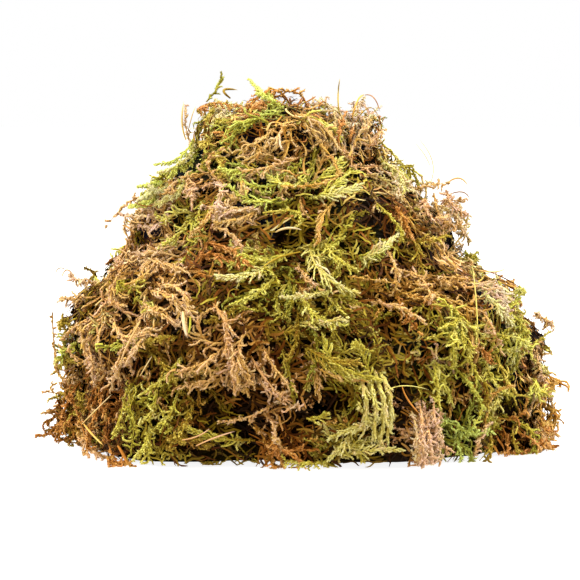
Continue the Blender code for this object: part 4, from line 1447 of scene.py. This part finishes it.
def matted_shade_body(name, depth):
    """The matted inside of a tuft: the tuft with its outer corners drawn in to a depth under the
    growth, and its corners joined. It is a sheet in painted shade, whose light follows the fourth
    power of its patch's light."""
    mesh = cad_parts[name].data
    places = np.empty(len(mesh.vertices) * 3, np.float32)
    mesh.vertices.foreach_get("co", places)
    mesh.calc_loop_triangles()
    triangles = np.empty(len(mesh.loop_triangles) * 3, np.int32)
    mesh.loop_triangles.foreach_get("vertices", triangles)
    corners, index = np.unique(places.reshape(-1, 3).round(6), axis=0, return_inverse=True)
    triangles = index.reshape(-1)[triangles.reshape(-1, 3)]
    corners = corners.astype(float)
    highest = swell(corners) - depth
    corners = corners - unit(corners - HEART) * np.maximum(above_skin(corners) - highest, 0)[:, None]
    corners[:, 2] = corners[:, 2].clip(FLOOR_CLEAR)
    first, second, third = np.moveaxis(corners[triangles], 1, 0)
    area = np.linalg.norm(np.cross(second - first, third - first), axis=1)
    triangles = triangles[area > LEAST_AREA]
    pick, _ = patch_at(corners)
    every = patches()
    growth = np.zeros((len(corners), 4))
    growth[:, 0] = every.shade[pick]
    # painted shade: the inside's light follows the fourth power of its patch's light
    growth[:, 1] = BODY_LIGHT * every.light[pick] ** 4
    growth[:, 3] = BODY_AGE_AND_SHADE
    return Surface(corners, triangles, growth)


def bake_map(count):
    """A place of its own for each of this many triangles on a square map: two to a cell."""
    cells = math.ceil(math.sqrt(count / 2))
    index = np.arange(count) // 2
    corner = np.stack((index % cells, index // cells), -1)[:, None] / cells
    lower = np.array(((0.08, 0.08), (0.80, 0.08), (0.08, 0.80))) / cells
    upper = np.array(((0.92, 0.92), (0.20, 0.92), (0.92, 0.20))) / cells
    return corner + np.where((np.arange(count) % 2 == 0)[:, None, None], lower, upper)


def add_piece(name, surface, materials, first_count=0):
    """A mesh object from arrays, at the origin. Its first triangles get the first material, and the
    others the last."""
    mesh = bpy.data.meshes.new(name)
    count = len(surface.triangles)
    mesh.vertices.add(len(surface.corners))
    mesh.vertices.foreach_set("co", surface.corners.astype(np.float32).ravel())
    mesh.loops.add(count * 3)
    mesh.loops.foreach_set("vertex_index", surface.triangles.astype(np.int32).ravel())
    mesh.polygons.add(count)
    mesh.polygons.foreach_set("loop_start", np.arange(0, count * 3, 3, dtype=np.int32))
    mesh.update(calc_edges=True)
    growth = mesh.attributes.new("growth", "FLOAT_COLOR", "POINT")
    growth.data.foreach_set("color", surface.growth.astype(np.float32).ravel())
    baked = mesh.uv_layers.new(name="OFBake")
    baked.data.foreach_set("uv", bake_map(count).astype(np.float32).ravel())
    mesh.shade_smooth()
    for material in materials:
        mesh.materials.append(material)
    slots = np.full(count, len(materials) - 1, np.int32)
    slots[:first_count] = 0
    mesh.polygons.foreach_set("material_index", slots)
    mesh.validate()
    piece = bpy.data.objects.new(name, mesh)
    bpy.context.scene.collection.objects.link(piece)
    return piece


# Materials


def add_node(tree, kind, links=None, **settings):
    """A node with these settings. links gives its inputs: a socket to link, or a plain value."""
    node = tree.nodes.new(kind)
    for name, value in settings.items():
        setattr(node, name, value)
    for name, value in (links or {}).items():
        if isinstance(value, bpy.types.NodeSocket):
            tree.links.new(value, node.inputs[name])
        else:
            node.inputs[name].default_value = value
    return node


def mixed(tree, blend, factor, first, second):
    """The colour that comes of mixing two colours."""
    return add_node(tree, "ShaderNodeMix", {0: factor, 6: first, 7: second}, data_type="RGBA",
                    blend_type=blend, clamp_result=False).outputs[2]


def noise(tree, place, scale, detail):
    """A value that wanders round a half, with this many waves in a metre."""
    links = {"Vector": place, "Scale": scale, "Detail": detail}
    return add_node(tree, "ShaderNodeTexNoise", links).outputs["Fac"]


def worked(tree, operation, first, second, **settings):
    """The result of an operation on two values."""
    return add_node(tree, "ShaderNodeMath", {0: first, 1: second}, operation=operation,
                    **settings).outputs[0]


def worked_each(tree, operation, first, second):
    """The result of an operation on each of the three parts of a colour."""
    return add_node(tree, "ShaderNodeVectorMath", {0: first, 1: second}, operation=operation).outputs[0]


def scaled(tree, colour, factor):
    """A colour times a value."""
    return add_node(tree, "ShaderNodeVectorMath", {0: colour, "Scale": factor},
                    operation="SCALE").outputs[0]


def stretched(tree, value, low, high, to_low, to_high):
    """A value, with a range of it stretched over another range."""
    links = {"Value": value, "From Min": low, "From Max": high, "To Min": to_low, "To Max": to_high}
    return add_node(tree, "ShaderNodeMapRange", links).outputs["Result"]


@functools.cache
def moss_group():
    """The look of the moss at a point: shade from the growth, and its light as painted light and shade,
    warmer where dim; paler leaf tips, paler still where the painted light is high, as painted
    highlights; duller and browner deep in the heap, partly with age and partly as painted shade; fine
    mottling, nothing paler than PALEST, and a rough grain."""
    colours = bpy.context.scene.moss_colours
    group = bpy.data.node_groups.new("moss_growth", "ShaderNodeTree")
    for name, default in (("Paler Tips", 0.5), ("Age Shade", 0.6), ("Mottling", 0.3)):
        socket = group.interface.new_socket(name, in_out="INPUT", socket_type="NodeSocketFloat")
        socket.default_value = default
    for name, kind in (("Color", "Color"), ("Roughness", "Float"), ("Grain", "Float")):
        group.interface.new_socket(name, in_out="OUTPUT", socket_type=f"NodeSocket{kind}")
    given = group.nodes.new("NodeGroupInput").outputs
    result = group.nodes.new("NodeGroupOutput").inputs
    growth = add_node(group, "ShaderNodeAttribute", attribute_name="growth")
    shade, light, tip = add_node(group, "ShaderNodeSeparateColor", {"Color": growth.outputs["Color"]}).outputs
    place = add_node(group, "ShaderNodeTexCoord").outputs["Object"]
    blotches = noise(group, place, *BLOTCHES)
    specks = noise(group, place, *SPECKS)
    drift = stretched(group, blotches, 0.3, 0.7, -0.025, 0.025)
    moved = worked(group, "ADD", shade, drift, use_clamp=True)
    ramp = add_node(group, "ShaderNodeValToRGB", {"Fac": moved})
    while len(ramp.color_ramp.elements) < len(SHADE):
        ramp.color_ramp.elements.new(0.5)
    for element, (name, position) in zip(ramp.color_ramp.elements, SHADE.items()):
        element.position = position
        element.color = (*getattr(colours, name), 1.0)
    colour = ramp.outputs["Color"]
    # painted light and shade: the growth's light value scales the colour, and warms it where low
    lit = worked_each(group, "MULTIPLY", colour, worked_each(group, "POWER", light, DARK_WARMTH))
    # the tips pale, and pale more where the painted light is high: paler tips and painted highlights
    paled_and_highlit = scaled(group, worked_each(group, "POWER", colour, TIP_PALING_AND_HIGHLIGHT), light)
    tips = worked(group, "MULTIPLY", tip, given["Paler Tips"])
    tips = worked(group, "MULTIPLY", tips, light, use_clamp=True)
    pale = mixed(group, "MIX", tips, lit, paled_and_highlit)
    # deep in the heap the moss turns browner and darker: partly its age, partly painted shade
    old = worked(group, "MULTIPLY", growth.outputs["Alpha"], given["Age Shade"])
    aged_and_shaded_colour = mixed(group, "MULTIPLY", old, pale, AGED_AND_SHADED)
    dark = stretched(group, specks, 0.35, 0.65, 1.0, 0.0)
    dark = worked(group, "MULTIPLY", dark, given["Mottling"])
    mottled = mixed(group, "MULTIPLY", dark, aged_and_shaded_colour, SPECKLED)
    levels = add_node(group, "ShaderNodeSeparateColor", {"Color": mottled}).outputs
    room = worked(group, "DIVIDE", PALEST, worked(group, "MAXIMUM", levels["Red"], levels["Green"]))
    final = scaled(group, mottled, worked(group, "MINIMUM", room, 1.0))
    rough = stretched(group, specks, 0.3, 0.7, 0.55, 0.85)
    for value, name in ((final, "Color"), (rough, "Roughness"), (specks, "Grain")):
        group.links.new(value, result[name])
    return group


@functools.cache
def moss_material(name, paler_tips, age_shade, mottling):
    """Dried moss, with the amounts of its growth's effects."""
    material = bpy.data.materials.new(name)
    material.use_nodes = True
    tree = material.node_tree
    tree.nodes.clear()
    look = add_node(tree, "ShaderNodeGroup", node_tree=moss_group())
    look.inputs["Paler Tips"].default_value = paler_tips
    look.inputs["Age Shade"].default_value = age_shade
    look.inputs["Mottling"].default_value = mottling
    bump = add_node(tree, "ShaderNodeBump", {
        "Height": look.outputs["Grain"], "Strength": 0.35, "Distance": GRAIN_DEPTH})
    shader = add_node(tree, "ShaderNodeBsdfPrincipled", {
        "Base Color": look.outputs["Color"], "Roughness": look.outputs["Roughness"],
        "Normal": bump.outputs["Normal"], "Specular IOR Level": 0.12, "Specular Tint": SHEEN_TINT})
    add_node(tree, "ShaderNodeOutputMaterial", {"Surface": shader.outputs["BSDF"]})
    return material


@functools.cache
def matted_shade_material():
    """The matted inside of a tuft: strands a millimetre wide that run crooked and side by side,
    near black between them, the whole painted near black as the shade deep in the heap."""
    material = bpy.data.materials.new("matted_moss")
    material.use_nodes = True
    tree = material.node_tree
    tree.nodes.clear()
    look = add_node(tree, "ShaderNodeGroup", node_tree=moss_group())
    place = add_node(tree, "ShaderNodeTexCoord").outputs["Object"]
    strands = [add_node(tree, "ShaderNodeTexWave", {
        "Vector": place, "Scale": scale, "Distortion": 24.0, "Detail": 3.0, "Detail Scale": 0.40,
    }, bands_direction=way).outputs["Fac"] for way, scale in (("DIAGONAL", 150.0), ("Z", 190.0))]
    both = worked(tree, "MULTIPLY", *strands)
    # painted shade: the inside's colour is scaled down to between 0.02 and 0.05
    final = scaled(tree, look.outputs["Color"], stretched(tree, both, 0.10, 0.85, 0.02, 0.05))
    bump = add_node(tree, "ShaderNodeBump", {"Height": both, "Strength": 0.9, "Distance": STRAND_DEPTH})
    shader = add_node(tree, "ShaderNodeBsdfPrincipled", {
        "Base Color": final, "Roughness": look.outputs["Roughness"],
        "Normal": bump.outputs["Normal"], "Specular IOR Level": 0.0})
    add_node(tree, "ShaderNodeOutputMaterial", {"Surface": shader.outputs["BSDF"]})
    return material


def plain_material(name, colour, glow):
    """The even finish of the stage."""
    material = bpy.data.materials.new(name)
    material.use_nodes = True
    shader = material.node_tree.nodes["Principled BSDF"]
    shader.inputs["Base Color"].default_value = colour
    shader.inputs["Roughness"].default_value = 0.9
    shader.inputs["Emission Color"].default_value = WHITE
    shader.inputs["Emission Strength"].default_value = glow
    return material


# The pieces


def dress_tuft(name, sizes):
    """Grows one tuft's shoots over its matted body, a sheet in painted shade, in place of its plain solid."""
    number = TUFTS.index(name)
    shoots, owners = all_shoots(sizes.shoots, sizes.seed)
    mine = chosen(shoots, owners == number)
    under, under_owners = thatch(sizes.thatch, sizes.seed)
    surfaces = [matted_shade_body(name, sizes.body_depth), strips(chosen(under, under_owners == number))]
    if len(mine.stem):
        surfaces.append(tubes(stem_curves(mine, sizes.stem_radius)))
    for index, kind in enumerate(KINDS.values()):
        group = chosen(mine, mine.kind == index)
        if not len(group.stem):
            continue
        rng = np.random.default_rng((sizes.seed, number, index))
        curves = branches(group, kind, sizes.branch_size, rng)
        surfaces += [tubes(curves), leaves(curves, kind, sizes.leaf_size, rng)]
    body_count = len(surfaces[0].triangles)
    materials = (matted_shade_material(), moss_material("dried_moss", 0.95, 0.75, 0.30))
    piece = add_piece(f"moss_{name}", merged(surfaces), materials, body_count)
    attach(piece, "root")
    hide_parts(name)
    return piece


def dress_tier(tier, sizes):
    """Grows the shoots of every tuft of a tier."""
    for name in TUFTS:
        if name.startswith(tier):
            dress_tuft(name, sizes)


def bare_stems():
    """Bare stems, needles and threads that lie on the front: each runs through three points of the
    picture as a curve of the second degree, is rooted 2 mm deeper, and tapers to its ends."""
    root, middle, tip = (columns(STEMS, f"{place}_across", f"{place}_down")[:, None]
                         for place in ("root", "middle", "tip"))
    pixels = curve_through(root, middle, tip, np.linspace(0, 1, STEM_POINTS)[None, :, None])
    lift = np.repeat(columns(STEMS, "lift") * MM, STEM_POINTS, 1)
    lift[:, 0] -= 2 * MM
    point = seen_at(pixels[..., 0], pixels[..., 1], lift)
    ways = unit(np.gradient(point, axis=1))
    flat = unit(np.cross(ways[:, 0], skin_normal(point[:, STEM_MIDDLE])))
    taper = np.sin(math.pi * np.linspace(0.12, 0.96, STEM_POINTS)) ** 0.5
    radius = columns(STEMS, "thickness") / 2 * MM * taper
    shade = np.array([SHADE[stem.shade] for stem in STEMS])
    return tubes(Curves(point, ways, flat, radius, shade, columns(STEMS, "light")[:, 0]), sides=6)


class TierOperator(bpy.types.Operator):
    """Grows the moss of one tier of the heap."""

    bl_options = {"REGISTER", "UNDO"}
    tier = ""

    def execute(self, context):
        dress_tier(self.tier, context.scene.moss_sizes)
        return {"FINISHED"}


class MOSS_OT_base_tufts(TierOperator):
    """Grows the moss of the tufts that rest on the floor"""

    bl_idname = "moss.base_tufts"
    bl_label = "Base tufts"
    tier = "base"


class MOSS_OT_lower_tufts(TierOperator):
    """Grows the moss of the second tier of tufts"""

    bl_idname = "moss.lower_tufts"
    bl_label = "Lower tufts"
    tier = "lower"


class MOSS_OT_middle_tufts(TierOperator):
    """Grows the moss of the third tier of tufts"""

    bl_idname = "moss.middle_tufts"
    bl_label = "Middle tufts"
    tier = "middle"


class MOSS_OT_upper_tufts(TierOperator):
    """Grows the moss of the fourth tier of tufts"""

    bl_idname = "moss.upper_tufts"
    bl_label = "Upper tufts"
    tier = "upper"


class MOSS_OT_crown_tufts(TierOperator):
    """Grows the moss of the tufts on top of the heap"""

    bl_idname = "moss.crown_tufts"
    bl_label = "Crown tufts"
    tier = "crown"


class MOSS_OT_bare_stems(bpy.types.Operator):
    """Lays the bare stems, needles and threads on the heap"""

    bl_idname = "moss.bare_stems"
    bl_label = "Bare stems"
    bl_options = {"REGISTER", "UNDO"}

    def execute(self, context):
        piece = add_piece("bare_stems", bare_stems(), (moss_material("bare_stem", 0.25, 0.3, 0.2),))
        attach(piece, "root")
        return {"FINISHED"}


class MOSS_OT_studio(bpy.types.Operator):
    """Sets the floor, the lamps, the sky and the camera"""

    bl_idname = "moss.studio"
    bl_label = "Studio"
    bl_options = {"REGISTER", "UNDO"}

    def execute(self, context):
        settings = context.scene.moss_studio
        add_floor()
        add_lamp("key_lamp", (-0.20, -0.52, 1.00), 0.60, settings.key_power)
        add_lamp("right_lamp", (0.95, 0.05, 0.60), 0.80, settings.side_power)
        add_lamp("left_lamp", (-0.95, 0.10, 0.60), 0.80, settings.side_power)
        add_lamp("back_lamp", (0.10, 0.62, 1.10), 0.90, settings.back_power)
        add_sky(settings.sky)
        add_camera()
        context.scene.view_settings.view_transform = "Standard"
        return {"FINISHED"}


def add_floor():
    """A wide pale floor, level with the bottom of the clump."""
    sides = ((-1, -1), (1, -1), (1, 1), (-1, 1))
    corners = [(across * FLOOR_REACH, back * FLOOR_REACH, 0) for across, back in sides]
    mesh = bpy.data.meshes.new("floor")
    mesh.from_pydata(corners, [], [range(len(corners))])
    mesh.materials.append(plain_material("pale_floor", FLOOR_COLOUR, FLOOR_GLOW))
    floor = bpy.data.objects.new("floor", mesh)
    floor.visible_diffuse = False
    bpy.context.scene.collection.objects.link(floor)


def aimed(location, target):
    """The turn that points an object's -Z from one place to another, with +Y up."""
    way = np.subtract(target, location)
    level = math.hypot(way[0], way[1])
    return (math.atan2(level, -way[2]), 0.0, math.atan2(-way[0], way[1]))


def add_lamp(name, location, size, power):
    """A round lamp that faces the heap."""
    lamp = bpy.data.lights.new(name, "AREA")
    lamp.shape = "DISK"
    lamp.size = size
    lamp.energy = power
    thing = bpy.data.objects.new(name, lamp)
    thing.location = location
    thing.rotation_euler = aimed(location, LAMPS_AIM)
    bpy.context.scene.collection.objects.link(thing)


def add_sky(strength):
    """An even sky that shows white, and lights the gaps as warmly as light that moss has passed on."""
    world = bpy.data.worlds.new("even_sky")
    world.use_nodes = True
    tree = world.node_tree
    tree.nodes.clear()
    path = add_node(tree, "ShaderNodeLightPath")
    power = stretched(tree, path.outputs["Is Camera Ray"], 0.0, 1.0, strength, 1.0)
    tint = mixed(tree, "MIX", path.outputs["Is Camera Ray"], SKY_TINT, WHITE)
    sky = add_node(tree, "ShaderNodeBackground", {"Color": tint, "Strength": power})
    add_node(tree, "ShaderNodeOutputWorld", {"Surface": sky.outputs["Background"]})
    bpy.context.scene.world = world


def add_camera():
    """The camera where the photograph was taken from: its lens shows the whole picture's width at
    the distance of the heap."""
    place, _, _, back = camera_frame()
    camera = bpy.data.cameras.new("camera")
    camera.lens = camera.sensor_width * CAMERA_DISTANCE / (PICTURE * PIXEL)
    thing = bpy.data.objects.new("camera", camera)
    thing.location = place
    thing.rotation_euler = aimed(place, place - back)
    bpy.context.scene.collection.objects.link(thing)
    bpy.context.scene.camera = thing


class MOSS_PT_panel(bpy.types.Panel):
    """The clump's settings and the steps that build it"""

    bl_idname = "MOSS_PT_panel"
    bl_label = "Moss Clump"
    bl_space_type = "VIEW_3D"
    bl_region_type = "UI"
    bl_category = "Moss"

    def draw(self, context):
        scene = context.scene
        for settings in (scene.moss_sizes, scene.moss_colours, scene.moss_studio):
            box = self.layout.box()
            for name in settings.__annotations__:
                box.prop(settings, name)
        for step in STEPS:
            self.layout.operator(step.bl_idname)


STEPS = (MOSS_OT_base_tufts, MOSS_OT_lower_tufts, MOSS_OT_middle_tufts, MOSS_OT_upper_tufts,
         MOSS_OT_crown_tufts, MOSS_OT_bare_stems, MOSS_OT_studio)
CLASSES = (MossSizes, MossColours, StudioSettings, *STEPS, MOSS_PT_panel)


def register():
    """Adds the classes and the settings to Blender."""
    for each in CLASSES:
        bpy.utils.register_class(each)
    bpy.types.Scene.moss_sizes = bpy.props.PointerProperty(type=MossSizes)
    bpy.types.Scene.moss_colours = bpy.props.PointerProperty(type=MossColours)
    bpy.types.Scene.moss_studio = bpy.props.PointerProperty(type=StudioSettings)


def unregister():
    """Takes them out again."""
    del bpy.types.Scene.moss_studio
    del bpy.types.Scene.moss_colours
    del bpy.types.Scene.moss_sizes
    for each in reversed(CLASSES):
        bpy.utils.unregister_class(each)


def main():
    """Runs the steps in turn."""
    register()
    for step in STEPS:
        area, name = step.bl_idname.split(".")
        getattr(getattr(bpy.ops, area), name)()


if __name__ == "__main__":
    main()
